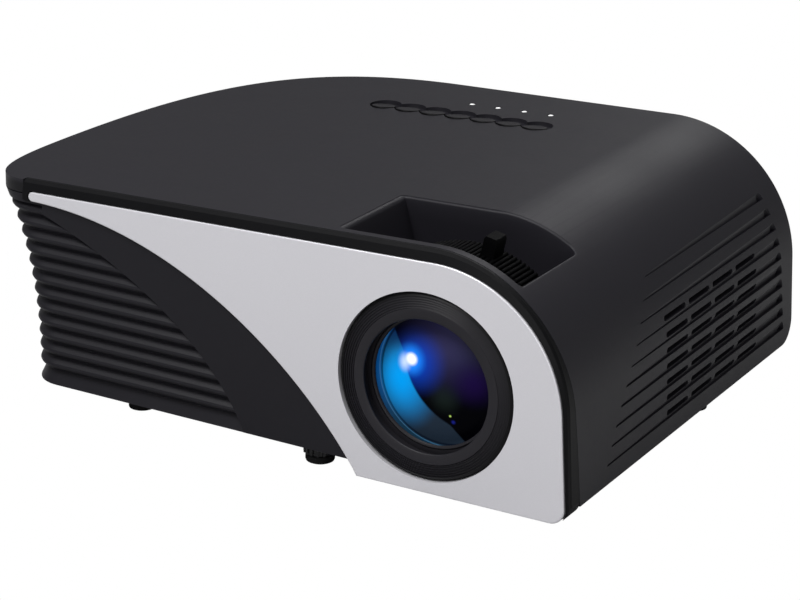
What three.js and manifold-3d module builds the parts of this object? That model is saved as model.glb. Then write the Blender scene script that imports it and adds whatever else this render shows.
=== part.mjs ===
// A compact video projector with a lens at the right of its front face, as an assembly of separate pieces.
// Millimetres, +X right as seen from the front, front face towards -Y, +Z up, standing on z = 0.
import * as THREE from "three";
import { mergeVertices } from "three/addons/utils/BufferGeometryUtils.js";
import Module from "manifold-3d";

const wasm = await Module();
wasm.setup();

// Driving sizes of the housing
const housingWidth = 203;
const housingDepth = 164;
const faceHeight = 73.5;
const faceGap = 3;
const baseHeight = 6.5;
const wall = 2.2;
const topSlope = THREE.MathUtils.degToRad(1.74);
const wallLean = THREE.MathUtils.degToRad(4.04);
const shoulderRadius = 43.3;
const skirtHeight = 4.2;
const leftLean = 11.7;
const leanStartX = -40;
const baseCornerRadius = 8;
const rearFlatX = -52;

// Fits and overruns
const gap = 0.3;
const seat = 0.2;
const over = 20;
const weld = 0.0001;

// Corners of the housing seen from above, as handles of smooth curves
const rearCurve = { startX: -25.2, startHandle: 61.4, endY: -42, endHandle: 78.1 };
const frontCurve = { startY: -43.1, startHandle: 20.2, endX: -85.1, endHandle: 14.3 };
const cornerSteps = 8;

// Front: bezel, bright panel and the sweep between panel and ribs
const bezel = { bevelTop: 3.2, bevelSide: 1.34, bevelDepth: 2.2, cornerRadius: 39.1, rimDepth: 2.8,
  plate: 2.2, bottom: 3.6, leftX: -84.8 };
const panel = { thickness: 2.3, footRadius: 2 };
const sweep = { startX: -81, startZ: 64.6, startHandle: 50.6, endX: 33, endHandleX: 21.4, endHandleZ: 31.1 };
const sweepSteps = 16;
const blackFaceStep = 1;

// Ribs that wrap round the front left corner
const ribs = { count: 12, pitch: 4.43, lowest: 10.5, depth: 1.3, proud: 0.1 };
const ribShares = [0, 0.25, 0.75];
const ribTips = { startX: -78, startZ: 61, startHandleX: 25, startHandleZ: 9, endX: -6, endZ: 7,
  endHandleX: 13.1, endHandleZ: 28.2 };
const ribTipDepth = 6;
const leftVent = { width: 44, height: 1.5, firstRib: 2, rows: 7 };

// Grooves and slots of the right wall
const groove = { count: 10, pitch: 4.87, lowest: 12, frontY: -56.4, frontStep: 2.9, frontBend: 0.0166,
  rearY: 74.9, rearStep: 0.5, frontRise: 0.5, rearRise: 2.8, frontDepth: 0.2, rearDepth: 1, endRound: 1 };
const slot = { rows: 7, columns: 4, firstY: -16.3, length: 15.3, pitch: 17.7, height: 1.5, aboveGroove: 2 };

// Lens, focus ring and the hood round them
const lens = { x: 55, z: 34.4, holeRadius: 28.2 };
const hood = { rimRadius: 27.9, bore: 23.3, lipSetback: 0.3, throat: 4, spigotRadius: 25.2, steps: 2,
  stepDepth: 0.6 };
const sleeve = { bore: 21.9, radius: 23, rearY: -39, flange: 2, frontSetback: 3.6, slotWidth: 3.4 };
const barrel = { radius: 21.6, bore: 20.2, throatRadius: 17.5, length: 36, setback: 3.9, frontSeat: 9,
  rearSeat: 5 };
const retainer = { bore: 18.2, radius: 20, length: 1.4 };
const frontGlass = { radius: 19.9, open: 17.9, edge: 2.6, frontCrown: 3.4, rearCrown: 0 };
const rearGlass = { radius: 19.9, open: 18.4, edge: 2.4, frontCrown: 0, rearCrown: 1.6 };
const focusRing = { bore: 23.3, radius: 25.2, frontY: -74.6, rearY: -50, gripRadius: 35, gripWall: 2.4,
  gripFrontY: -66.5, gripRearY: -52.3, knurlFrontY: -63.6, toothDepth: 0.9, teeth: 16, web: 2.2 };
const gripHalfAngle = THREE.MathUtils.degToRad(50);
const toothShare = 0.3;
const clipWidth = 1.2;
const focusTab = { radius: 40.8, width: 4.6, length: 6, rearY: -55 };
const focusTabAngle = THREE.MathUtils.degToRad(12);
const focusPin = { radius: 1.4, y: -62 };
const focusPinAngle = THREE.MathUtils.degToRad(-90);
const focusLow = THREE.MathUtils.degToRad(-45);
const focusHigh = THREE.MathUtils.degToRad(18);
const focusTravelPerRadian = 5;

// Finger well over the focus ring
const well = { leftX: 23.9, rightX: 80.6, frontY: -75.4, rearY: -40.6, wall: 1.6, frontBottom: 61,
  leftBottom: 54, rightBottom: 60, rearBottom: 46, softEdge: 3 };

// Buttons, their trough and the four indicators
const buttons = { count: 7, firstX: -33.5, pitch: 9.35, y: 45.9, radius: 3.95, crown: 0.5, height: 4.2,
  sunk: 1, flange: 4.4, flangeHeight: 1.2, travel: 0.7 };
const trough = { radius: 5.1, depth: 1.4 };
const indicators = { count: 4, firstX: -8.5, pitch: 9.7, y: 61.2, radius: 0.9, footRadius: 1.6,
  footHeight: 1.4 };
const buttonBoard = { thickness: 1.4, margin: 5, domeRadius: 2.2, domeHeight: 0.5 };

// Feet and screws
const feet = [[-51.7, -67.6], [90, -66], [92, 25], [-47.5, 60]];
const foot = { radius: 4.2, taper: 0.5 };
const tiltFoot = { x: 15.8, y: -73, padRadius: 4.4, padHeight: 2.4, knobRadius: 5, knobHeight: 3, stud: 2.3,
  studTop: 24, nutRadius: 4.4, nutHeight: 5, notch: 0.7, notches: 10 };
const columns = [[-76, -66], [93, -45.5], [91, 70], [-58, 62]];
const column = { radius: 3.2, pilot: 1.7, pilotDepth: 13 };
const floorBoss = { radius: 5, height: 11, screwHole: 1.8, headRecess: 3.1, headDepth: 2.6 };
const screw = { head: 2.8, headHeight: 1.9, shank: 1.35, length: 14 };

// Light path: lamp at the left, display in the middle, mirror behind the lens
const axisY = -8;
const lightBox = { wall: 2, floor: 9.2, height: 50, lampX: -50, lampHalf: 24, displayX: 0, sideRoom: 1,
  chamberX: 17, lensWallY: -38.6, rightX: 82, lidThickness: 2 };
const display = { x: 8, width: 84, height: 46, frame: 4, thickness: 3 };
const fresnel = { width: 84, height: 46, thickness: 2, spacing: 5 };
const mirror = { length: 64, height: 46, thickness: 3 };
const condenser = { x: -43, radius: 20, edge: 3, crown: 9, cradle: 14 };
const lampBoard = { size: 46, thickness: 1.6, chip: 16, chipHeight: 1 };
const heatSink = { base: 4, fins: 9, finThickness: 1.6, depth: 19.5, size: 46 };
const fan = { x: -82.6, size: 50, depth: 10, hub: 11, bore: 23.6, blades: 7, bladeThickness: 1.2, strut: 3,
  strutDepth: 1.8, shaft: 1.5, boltInset: 4, boltRadius: 1.6 };
const bladePitch = THREE.MathUtils.degToRad(38);

// Boards and what is soldered to them
const boardHeight = 15;
const boardThickness = 1.6;
const boardSpace = { toLightBox: 1, toRearWall: 4.3, between: 4, besideInlet: 3 };
const post = { radius: 2.4, inset: 4 };
const boardChipHeight = 3;
const mainBoardShares = [[0.4, 0.2, 0.28, 0.35, 0.6], [0.12, 0.15, 0.12, 0.2, 0.5],
  [0.75, 0.15, 0.08, 0.15, 2.4]];
const powerBoardShares = [[0.12, 0.04, 0.26, 0.16, 3], [0.5, 0.04, 0.4, 0.12, 3.6]];
const hdmiSocket = { x: -35, width: 15.4, height: 6.2, depth: 11, shell: 0.8, tongue: 1.3, chamfer: 1.8 };
const usbSocket = { x: -17, width: 14.4, height: 7.2, depth: 13, shell: 0.9, tongue: 1.8 };
const cardSlot = { x: 5, width: 26, height: 4.2, depth: 22, mouth: 2.2, mouthWidth: 24.4 };
const jack = { xs: [24, 34], width: 8, height: 8, depth: 12, bore: 1.8, collar: 3.2 };
const jackNames = ["av_jack", "headphone_jack"];
const vgaSocket = { x: 20, z: 40, width: 30.8, height: 12.5, depth: 10, shellWidth: 17, shellHeight: 8.4,
  slant: 1.6, wall: 0.9 };
const inlet = { x: 66, width: 24, height: 17, depth: 17, mouthWidth: 17, mouthHeight: 10, mouthDepth: 13,
  pin: 1.2, pinSpacing: 8.6, pinLength: 9 };
const irWindow = { x: -14, z: 42, width: 12, height: 8, lip: 1.2 };
const transformer = { y: 38, width: 22, depth: 18, height: 17 };
const speaker = { x: 93.4, y: 46, radius: 17.5, frame: 2, coneDepth: 6, magnet: 9, magnetDepth: 5 };

// Numbers of flats on round forms
const roundFine = 26;
const round = 18;
const roundSmall = 10;
const roundHole = 8;
const roundPin = 6;
const roundPost = 4;
const smoothing = 0.05;

const halfWidth = housingWidth / 2;
const frontY = -housingDepth / 2;
const rearY = housingDepth / 2;
const topHeight = faceGap + faceHeight;
const floorTop = baseHeight + wall;
const panelRearY = frontY + panel.thickness;
const plateFrontY = panelRearY + seat;
const plateRearY = plateFrontY + bezel.plate;
const coverFrontY = frontY + bezel.rimDepth + gap;
const displayHalf = Math.max(display.width, fresnel.width) / 2 + lightBox.sideRoom + lightBox.wall;
const boardRearY = rearY - wall - boardSpace.toRearWall;
const mainBoardY = axisY + displayHalf + boardSpace.toLightBox;
const mainBoard = { x: -45, y: mainBoardY, width: 84, depth: boardRearY - mainBoardY };
const powerBoardX = mainBoard.x + mainBoard.width + boardSpace.between;
const powerBoardEnd = inlet.x + inlet.width / 2 + boardSpace.besideInlet;
const powerBoard = { x: powerBoardX, y: 14, width: powerBoardEnd - powerBoardX, depth: 60 };

// Solids and simple forms

function volumeSign(points, faces) {
  let sum = 0;
  const [a, b, c] = [new THREE.Vector3(), new THREE.Vector3(), new THREE.Vector3()];
  for (const [i, j, k] of faces) {
    a.fromArray(points, 3 * i);
    b.fromArray(points, 3 * j);
    c.fromArray(points, 3 * k);
    sum += a.dot(b.cross(c));
  }
  return Math.sign(sum);
}

// A closed geometry as a solid; profiles may run either way round.
function solid(geometry) {
  const bare = geometry.clone();
  bare.deleteAttribute("normal");
  bare.deleteAttribute("uv");
  const merged = mergeVertices(bare, weld);
  const points = merged.attributes.position.array;
  const corners = merged.index.array;
  let faces = [];
  for (let i = 0; i < corners.length; i += 3) {
    const [a, b, c] = corners.slice(i, i + 3);
    if (a !== b && b !== c && c !== a) faces.push([a, b, c]);
  }
  if (volumeSign(points, faces) < 0) faces = faces.map(([a, b, c]) => [a, c, b]);
  const vertProperties = Float32Array.from(points);
  const triVerts = Uint32Array.from(faces.flat());
  return new wasm.Manifold(new wasm.Mesh({ numProp: 3, vertProperties, triVerts }));
}

function joined(forms) {
  return forms.reduce((sum, form) => sum.add(form));
}

function without(form, cutters) {
  return cutters.reduce((left, cutter) => left.subtract(cutter), form);
}

function outline(points) {
  return new THREE.Shape(points.map(([x, y]) => new THREE.Vector2(x, y)));
}

function rectangle(x0, y0, x1, y1) {
  return outline([[x0, y0], [x1, y0], [x1, y1], [x0, y1]]);
}

function disc(x, y, radius) {
  const shape = new THREE.Shape();
  shape.absarc(x, y, radius, 0, 2 * Math.PI);
  return shape;
}

function extruded(shape, depth, flats) {
  return new THREE.ExtrudeGeometry(shape, { depth, bevelEnabled: false, steps: 1, curveSegments: flats });
}

// A shape drawn in X and Y, standing between two heights
function prismZ(shape, z0, z1, flats = roundSmall) {
  return solid(extruded(shape, z1 - z0, flats).translate(0, 0, z0));
}

// A shape drawn in X and Z, running between two depths
function prismY(shape, y0, y1, flats = roundSmall) {
  return solid(extruded(shape, y1 - y0, flats).rotateX(Math.PI / 2).translate(0, y1, 0));
}

// A shape drawn in Y and Z, running between two places across
function prismX(shape, x0, x1, flats = roundSmall) {
  const turn = new THREE.Matrix4().set(0, 0, 1, 0, 1, 0, 0, 0, 0, 1, 0, 0, 0, 0, 0, 1);
  return solid(extruded(shape, x1 - x0, flats).applyMatrix4(turn).translate(x0, 0, 0));
}

function block(x0, x1, y0, y1, z0, z1) {
  const box = new THREE.BoxGeometry(x1 - x0, y1 - y0, z1 - z0);
  return solid(box.translate((x0 + x1) / 2, (y0 + y1) / 2, (z0 + z1) / 2));
}

function postZ(x, y, z0, z1, radius, flats = round) {
  return prismZ(disc(x, y, radius), z0, z1, flats);
}

function rodY(x, z, y0, y1, radius, flats = round) {
  return prismY(disc(x, z, radius), y0, y1, flats);
}

// A profile of [radius, y] points turned about the lens axis
function turnedOnLens(profile, flats = roundFine) {
  const points = profile.map(([radius, y]) => new THREE.Vector2(radius, y));
  return solid(new THREE.LatheGeometry(points, flats).translate(lens.x, 0, lens.z));
}

function ringOnLens(bore, radius, y0, y1, flats = roundFine) {
  return turnedOnLens([[bore, y0], [radius, y0], [radius, y1], [bore, y1], [bore, y0]], flats);
}

// A profile of [radius, z] points turned about a vertical axis
function turnedUpright(x, y, profile, flats = round) {
  const points = profile.map(([radius, z]) => new THREE.Vector2(radius, z));
  return solid(new THREE.LatheGeometry(points, flats).rotateX(Math.PI / 2).translate(x, y, 0));
}

// Rings of points with the same count, joined in order and closed at both ends
function lofted(rings, flat) {
  const count = rings[0].length;
  const positions = rings.flat().flatMap((point) => [point.x, point.y, point.z]);
  const index = [];
  for (let r = 0; r + 1 < rings.length; r += 1) {
    for (let i = 0; i < count; i += 1) {
      const j = (i + 1) % count;
      const [a, b, c, d] = [r * count + i, r * count + j, (r + 1) * count + j, (r + 1) * count + i];
      index.push(a, b, c, a, c, d);
    }
  }
  for (const [r, turned] of [[0, true], [rings.length - 1, false]]) {
    const drawn = rings[r].map(flat);
    const wound = THREE.ShapeUtils.area(drawn) > 0;
    for (const [a, b, c] of THREE.ShapeUtils.triangulateShape(drawn, [])) {
      const face = turned === wound ? [a, c, b] : [a, b, c];
      index.push(...face.map((i) => r * count + i));
    }
  }
  const geometry = new THREE.BufferGeometry();
  geometry.setAttribute("position", new THREE.Float32BufferAttribute(positions, 3));
  geometry.setIndex(index);
  return solid(geometry);
}

function curvePoints(numbers, steps) {
  const [x0, y0, x1, y1, x2, y2, x3, y3] = numbers;
  const ends = [[x0, y0], [x1, y1], [x2, y2], [x3, y3]].map(([x, y]) => new THREE.Vector2(x, y));
  return new THREE.CubicBezierCurve(...ends).getPoints(steps);
}

// Outlines of the housing

function topZ(x, drop = 0) {
  return topHeight - drop / Math.cos(topSlope) + (x - halfWidth) * Math.tan(topSlope);
}

function wallX(z, inset = 0) {
  return halfWidth - inset / Math.cos(wallLean) - (z - faceGap) * Math.tan(wallLean);
}

// Centre of an arc that touches the top plane and the right wall, both drawn in
function shoulderCentre(side, top, radius) {
  const across = halfWidth * Math.cos(wallLean) + faceGap * Math.sin(wallLean) - side - radius;
  const upward = topHeight * Math.cos(topSlope) - halfWidth * Math.sin(topSlope) - top - radius;
  const spread = Math.cos(wallLean + topSlope);
  const lean = new THREE.Vector2(Math.cos(topSlope), Math.sin(topSlope)).multiplyScalar(across);
  const rise = new THREE.Vector2(-Math.sin(wallLean), Math.cos(wallLean)).multiplyScalar(upward);
  return lean.add(rise).divideScalar(spread);
}

// The housing seen from the front: right wall, shoulder and sloping top, open to the left
function frontProfile(side, top, radius, bottom, left, steps = cornerSteps + 4) {
  const centre = shoulderCentre(side, top, radius);
  const points = [[left, bottom], [wallX(bottom, side), bottom]];
  for (let i = 0; i <= steps; i += 1) {
    const angle = wallLean + (i / steps) * (Math.PI / 2 + topSlope - wallLean);
    points.push([centre.x + radius * Math.cos(angle), centre.y + radius * Math.sin(angle)]);
  }
  points.push([left, topZ(left, top)]);
  return points;
}

function housingProfile(inset, bottom) {
  return outline(frontProfile(inset, inset, shoulderRadius - inset, bottom, -halfWidth - over));
}

// The housing seen from above, counter-clockwise, running past the right wall
function planOutline() {
  const rear = curvePoints([rearCurve.startX, rearY, rearCurve.startX - rearCurve.startHandle, rearY,
    -halfWidth, rearCurve.endY + rearCurve.endHandle, -halfWidth, rearCurve.endY], cornerSteps);
  const faceY = frontY + blackFaceStep;
  const front = curvePoints([-halfWidth, frontCurve.startY, -halfWidth,
    frontCurve.startY - frontCurve.startHandle,
    frontCurve.endX - frontCurve.endHandle, faceY, frontCurve.endX, faceY], cornerSteps - 4);
  const right = halfWidth + over;
  return [new THREE.Vector2(right, rearY), ...rear, ...front, new THREE.Vector2(right, faceY)];
}

// Every edge of a closed outline moved inwards, and the corners found again
function drawnIn(points, inset) {
  const count = points.length;
  const edges = points.map((start, i) => {
    const along = points[(i + 1) % count].clone().sub(start).normalize();
    return { at: start.clone().add(new THREE.Vector2(-along.y, along.x).multiplyScalar(inset)), along };
  });
  return points.map((point, i) => {
    const [last, next] = [edges[(i + count - 1) % count], edges[i]];
    const turn = last.along.cross(next.along);
    if (Math.abs(turn) < 1e-6) return next.at.clone();
    const reach = next.at.clone().sub(last.at).cross(next.along) / turn;
    return last.at.clone().addScaledVector(last.along, reach);
  });
}

// How far the left wall stands in under the top cover at a height
function leanAt(z) {
  const top = topZ(-halfWidth, skirtHeight);
  const share = THREE.MathUtils.clamp((top - z) / (top - baseHeight), 0, 1);
  return leftLean * (1 - (1 - share) ** 2.5);
}

function housingRing(z, inset) {
  const lean = leanAt(z);
  return drawnIn(planOutline(), inset).map((point) => {
    const share = THREE.MathUtils.clamp((leanStartX - point.x) / (halfWidth + leanStartX), 0, 1);
    return new THREE.Vector3(point.x + lean * share * (2 - share), point.y, z);
  });
}

const seenFromAbove = (point) => new THREE.Vector2(point.x, point.y);
const seenFromFront = (point) => new THREE.Vector2(point.x, point.z);

// Smooth body of the housing between the base and above the top, cut to the front and side outlines
function housingBody(inset) {
  const bottom = baseHeight + inset;
  const shareSteps = [0, 0.3, 0.6, 0.85, 1];
  const skirt = topZ(-halfWidth, skirtHeight);
  const heights = shareSteps.map((share) => bottom + share * (skirt - bottom));
  heights.push(topHeight + over);
  const body = lofted(heights.map((z) => housingRing(z, inset)), seenFromAbove);
  const front = prismY(housingProfile(inset, bottom), frontY - over, rearY + over);
  return body.intersect(front).intersect(sideProfile(inset));
}

// Seen from the right: the lower rear corner is round
function sideProfile(inset) {
  const radius = baseCornerRadius - inset;
  const [rear, bottom] = [rearY - inset, baseHeight + inset];
  const shape = new THREE.Shape();
  shape.moveTo(frontY - over, bottom);
  shape.lineTo(rear - radius, bottom);
  shape.absarc(rear - radius, bottom + radius, radius, -Math.PI / 2, 0);
  shape.lineTo(rear, topHeight + over);
  shape.lineTo(frontY - over, topHeight + over);
  return prismX(shape, -halfWidth - over, halfWidth + over, roundPin);
}

// The same body with the ribs pressed into it
function ribbedBody() {
  const heights = [];
  for (let i = 0; i < ribs.count; i += 1) {
    for (const share of ribShares) {
      const inset = ribs.proud + ribs.depth * (1 - Math.sin(Math.PI * share));
      heights.push({ z: ribs.lowest + (i + share) * ribs.pitch, inset });
    }
  }
  const top = ribs.lowest + ribs.count * ribs.pitch;
  const crest = (z) => ({ z, inset: ribs.proud });
  const levels = [crest(baseHeight), ...heights, crest(top), crest(topHeight + over)];
  const body = lofted(levels.map(({ z, inset }) => housingRing(z, inset)), seenFromAbove);
  const front = prismY(housingProfile(0, baseHeight), frontY - over, rearY + over);
  return body.intersect(front).intersect(sideProfile(0));
}

// The space under the top cover's skirt and inside its right wall
function belowCover(grow) {
  const inside = prismY(housingProfile(wall + grow, baseHeight - over), frontY - over, rearY + over);
  const [left, right] = [-halfWidth - over, halfWidth + over];
  const drop = skirtHeight + grow;
  const line = outline([[left, -over], [right, -over], [right, topZ(right, drop)], [left, topZ(left, drop)]]);
  return inside.intersect(prismY(line, frontY - over, rearY + over));
}

// The sweep that bounds the bright panel on its lower left, moved out by a distance
function sweepPoints(grow) {
  const points = curvePoints([sweep.startX, sweep.startZ, sweep.startX + sweep.startHandle, sweep.startZ,
    sweep.endX - sweep.endHandleX, faceGap + sweep.endHandleZ, sweep.endX, faceGap], sweepSteps);
  return points.map((point, i) => {
    const before = points[Math.max(i - 1, 0)];
    const after = points[Math.min(i + 1, sweepSteps)];
    const along = after.clone().sub(before).normalize();
    return [point.x + along.y * grow, point.y - along.x * grow];
  });
}

// All of the front that the bezel and the bright panel take up
function bezelRegion(grow, bottom) {
  const left = bezel.leftX - grow;
  const right = halfWidth + over;
  const line = sweepPoints(grow);
  const kept = line.filter(([, z]) => z > bottom);
  const last = kept[kept.length - 1];
  const next = line[kept.length];
  const endX = next ? last[0] + (next[0] - last[0]) * (last[1] - bottom) / (last[1] - next[1]) : last[0];
  return outline([[left, topHeight + over], [left, kept[0][1]], ...kept, [endX, bottom], [right, bottom],
    [right, topHeight + over]]);
}

// Outline of the bright panel
function panelOutline(grow) {
  const side = bezel.bevelSide - grow;
  const top = bezel.bevelTop - grow;
  const profile = frontProfile(side, top, bezel.cornerRadius + grow, faceGap - grow, sweep.startX);
  const [, corner, ...rest] = profile;
  const line = sweepPoints(grow);
  line[line.length - 1][1] = faceGap - grow;
  const foot = panel.footRadius;
  const [cornerX, cornerZ] = corner;
  const tipTop = rest[rest.length - 1];
  const middle = (tipTop[1] + line[0][1]) / 2;
  const tip = [0.25, 0.5, 0.75].map((share) => {
    const angle = Math.PI * share;
    const reach = (tipTop[1] - line[0][1]) / 2;
    return [sweep.startX - reach * Math.sin(angle), middle + reach * Math.cos(angle)];
  });
  return outline([...line, [cornerX - foot, cornerZ], [cornerX - foot * 0.3, cornerZ + foot * 0.3],
    [cornerX, cornerZ + foot], ...rest, ...tip]);
}

// Housing pieces

// A place on the right wall or the shoulder at a height, with the directions out of it and up along it
function onRightWall(z) {
  const centre = shoulderCentre(0, 0, shoulderRadius);
  const rise = (z - centre.y) / shoulderRadius;
  const lean = Math.max(Math.asin(THREE.MathUtils.clamp(rise, -1, 1)), wallLean);
  const x = lean > wallLean ? centre.x + shoulderRadius * Math.cos(lean) : wallX(z);
  const out = new THREE.Vector2(Math.cos(lean), Math.sin(lean));
  const up = new THREE.Vector2(-Math.sin(lean), Math.cos(lean));
  return { at: new THREE.Vector2(x, z), out, up };
}

// One groove: a step along its lower edge, and a face that rises from its foot to the wall
function grooveCutter(i) {
  const { at, out, up } = onRightWall(groove.lowest + i * groove.pitch);
  const start = groove.frontY + i * groove.frontStep + i ** 3 * groove.frontBend;
  const end = groove.rearY - i * groove.rearStep;
  const stations = [[start, groove.frontRise, groove.frontDepth],
    [end - groove.endRound, groove.rearRise, groove.rearDepth],
    [end, groove.rearRise - groove.endRound, groove.rearDepth / 2]];
  const rings = stations.map(([y, rise, depth]) => {
    const foot = at.clone().addScaledVector(out, -depth);
    const edge = at.clone().addScaledVector(up, rise);
    const beyond = foot.clone().lerp(edge, 1.5);
    const outside = at.clone().addScaledVector(out, depth);
    return [foot, beyond, outside].map((point) => new THREE.Vector3(point.x, y, point.y));
  });
  return lofted(rings, seenFromFront);
}

// Grooves of the right wall, and the slots that stand in rows just above them
function rightWallCutters() {
  const cutters = counted(groove.count, grooveCutter);
  for (let i = 0; i < slot.rows; i += 1) {
    const z = groove.lowest + i * groove.pitch + slot.aboveGroove;
    const { x } = onRightWall(z).at;
    for (let k = 0; k < slot.columns; k += 1) {
      const y = slot.firstY + k * slot.pitch;
      cutters.push(block(x - over / 2, x + over / 2, y, y + slot.length, z - slot.height / 2,
        z + slot.height / 2));
    }
  }
  return cutters;
}

function onTop(x, y) {
  const slope = new THREE.Matrix4().makeRotationY(-topSlope);
  return new THREE.Matrix4().makeTranslation(x, y, topZ(x)).multiply(slope);
}

// A profile of [radius, height] points turned about a line square to the top
function turnedOnTop(x, y, profile, flats = round) {
  const points = profile.map(([radius, z]) => new THREE.Vector2(radius, z));
  return solid(new THREE.LatheGeometry(points, flats).rotateX(Math.PI / 2).applyMatrix4(onTop(x, y)));
}

function cylinderOnTop(x, y, z0, z1, radius, flats = round) {
  return turnedOnTop(x, y, [[0, z0], [radius, z0], [radius, z1], [0, z1]], flats);
}

function buttonX(i) {
  return buttons.firstX + i * buttons.pitch;
}

function indicatorX(i) {
  return indicators.firstX + i * indicators.pitch;
}

function counted(count, make) {
  return Array.from({ length: count }, (unused, i) => make(i));
}

function topCover() {
  const shell = housingBody(0).subtract(housingBody(wall)).subtract(belowCover(0));
  const [left, right, top] = [bezel.leftX - gap, halfWidth + over, topHeight + over];
  const fitting = block(left, right, frontY - over, coverFrontY, -over, top);
  const plateY = frontY + blackFaceStep + wall + gap;
  const plateSpace = prismY(housingProfile(wall, -over), frontY - over, plateY)
    .intersect(block(left, right, frontY - over, plateY, -over, top));
  const body = housingBody(0);
  const { leftX, rightX, frontY: nearY, rearY: farY } = well;
  const thick = well.wall;
  const wellWalls = joined([
    block(leftX - thick, rightX + thick, nearY - thick, nearY, well.frontBottom, topHeight),
    block(leftX - thick, leftX, nearY - thick, farY + thick, well.leftBottom, topHeight),
    block(rightX, rightX + thick, nearY - thick, farY + thick, well.rightBottom, topHeight),
    block(leftX - thick, rightX + thick, farY, farY + thick, well.rearBottom, topHeight),
  ]).intersect(body).subtract(rodY(lens.x, lens.z, frontY, rearY, focusRing.radius + gap));
  const bossTop = topHeight - skirtHeight;
  const bosses = columns.map(([x, y]) => postZ(x, y, floorBoss.height + gap, bossTop, column.radius,
    roundHole));
  const pilots = columns.map(([x, y]) => {
    return postZ(x, y, floorBoss.height, floorBoss.height + column.pilotDepth, column.pilot, roundPin);
  });
  const soft = outline([[leftX - well.softEdge, topZ(leftX - well.softEdge) + seat],
    [leftX + seat, topHeight + seat], [leftX + seat, topZ(leftX) - well.softEdge]]);
  const cutters = [
    block(leftX, rightX, nearY, farY, well.rearBottom - over, topHeight + over),
    prismY(soft, nearY, farY),
    ...counted(buttons.count, (i) => cylinderOnTop(buttonX(i), buttons.y, -trough.depth, over,
    trough.radius, roundSmall)),
    ...counted(buttons.count, (i) => cylinderOnTop(buttonX(i), buttons.y, -over, over, buttons.radius + gap,
    roundSmall)), ...counted(indicators.count, (i) => cylinderOnTop(indicatorX(i), indicators.y, -over, over,
      indicators.radius + gap, roundHole)),
    ...rightWallCutters(),
  ];
  const solidCover = joined([without(shell, [fitting, plateSpace]), wellWalls,
    joined(bosses).intersect(body)]);
  return without(solidCover, [...cutters, ...pilots]);
}

function bottomCase() {
  const body = housingBody(0);
  const tips = curvePoints([ribTips.startX, ribTips.startZ, ribTips.startX + ribTips.startHandleX,
    ribTips.startZ - ribTips.startHandleZ, ribTips.endX - ribTips.endHandleX,
    ribTips.endZ + ribTips.endHandleZ,
    ribTips.endX, ribTips.endZ], sweepSteps / 2).map((point) => [point.x, point.y]);
  const right = halfWidth + over;
  const top = topHeight + over;
  const smoothFront = prismY(outline([[ribTips.startX, top], ...tips, [ribTips.endX, -over], [right, -over],
    [right, top]]), frontY - over, frontY + ribTipDepth);
  const smoothRear = block(rearFlatX, right, 0, rearY + over, -over, top);
  const smoothTop = block(-halfWidth - over, right, frontY - over, rearY + over,
    ribs.lowest + ribs.count * ribs.pitch, top);
  const smooth = body.intersect(joined([smoothFront, smoothRear, smoothTop]));
  const shell = ribbedBody().add(smooth).subtract(housingBody(wall));
  const floorBosses = [...columns, [tiltFoot.x, tiltFoot.y]].map(([x, y]) => {
    return postZ(x, y, baseHeight, floorBoss.height, floorBoss.radius, roundSmall);
  });
  const boardPosts = [mainBoard, powerBoard].flatMap(boardCorners)
    .map(([x, y]) => postZ(x, y, baseHeight, boardHeight - seat, post.radius, roundPost));
  const inside = prismY(housingProfile(wall + gap, baseHeight), frontY, rearY);
  const kept = joined([shell, ...floorBosses, ...boardPosts]).intersect(belowCover(gap)).intersect(inside);
  const frontCut = prismY(bezelRegion(gap, -over), frontY - over, plateRearY + gap);
  const vents = counted(leftVent.rows, (i) => {
    const z = ribs.lowest + (leftVent.firstRib + i) * ribs.pitch;
    const [half, high] = [leftVent.width / 2, leftVent.height / 2];
    return block(-halfWidth - over, fan.x - gap, axisY - half, axisY + half, z - high, z + high);
  });
  const screwHoles = columns.flatMap(([x, y]) => [
    postZ(x, y, -over, floorBoss.height + over, floorBoss.screwHole, roundHole),
    postZ(x, y, -over, baseHeight + floorBoss.headDepth, floorBoss.headRecess, roundHole),
  ]);
  const nutHole = postZ(tiltFoot.x, tiltFoot.y, -over, floorBoss.height + over, tiltFoot.nutRadius + seat,
    roundSmall);
  return without(kept, [frontCut, ...vents, ...screwHoles, nutHole, ...rearCutters()]);
}

// Pieces that stand in the rear wall need windows a little larger than themselves.
function rearWindow(x, z, width, height) {
  const [halfX, halfZ] = [width / 2 + gap, height / 2 + gap];
  return block(x - halfX, x + halfX, rearY - over / 2, rearY + over, z - halfZ, z + halfZ);
}

function onBoard(height) {
  return boardHeight + boardThickness + seat + height / 2;
}

function rearCutters() {
  const jacks = jack.xs.map((x) => rodY(x, onBoard(jack.height), rearY - over / 2, rearY + over,
    jack.collar + gap, roundSmall));
  return [
    rearWindow(hdmiSocket.x, onBoard(hdmiSocket.height), hdmiSocket.width, hdmiSocket.height),
    rearWindow(usbSocket.x, onBoard(usbSocket.height), usbSocket.width, usbSocket.height),
    rearWindow(cardSlot.x, onBoard(cardSlot.height), cardSlot.width, cardSlot.height),
    rearWindow(vgaSocket.x, vgaSocket.z, vgaSocket.shellWidth, vgaSocket.shellHeight),
    rearWindow(inlet.x, onBoard(inlet.height), inlet.width, inlet.height),
    rearWindow(irWindow.x, irWindow.z, irWindow.width, irWindow.height),
    ...jacks,
  ];
}

function boardCorners(board) {
  const [x0, x1] = [board.x + post.inset, board.x + board.width - post.inset];
  const [y0, y1] = [board.y + post.inset, board.y + board.depth - post.inset];
  return [[x0, y0], [x1, y0], [x1, y1], [x0, y1]];
}

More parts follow.
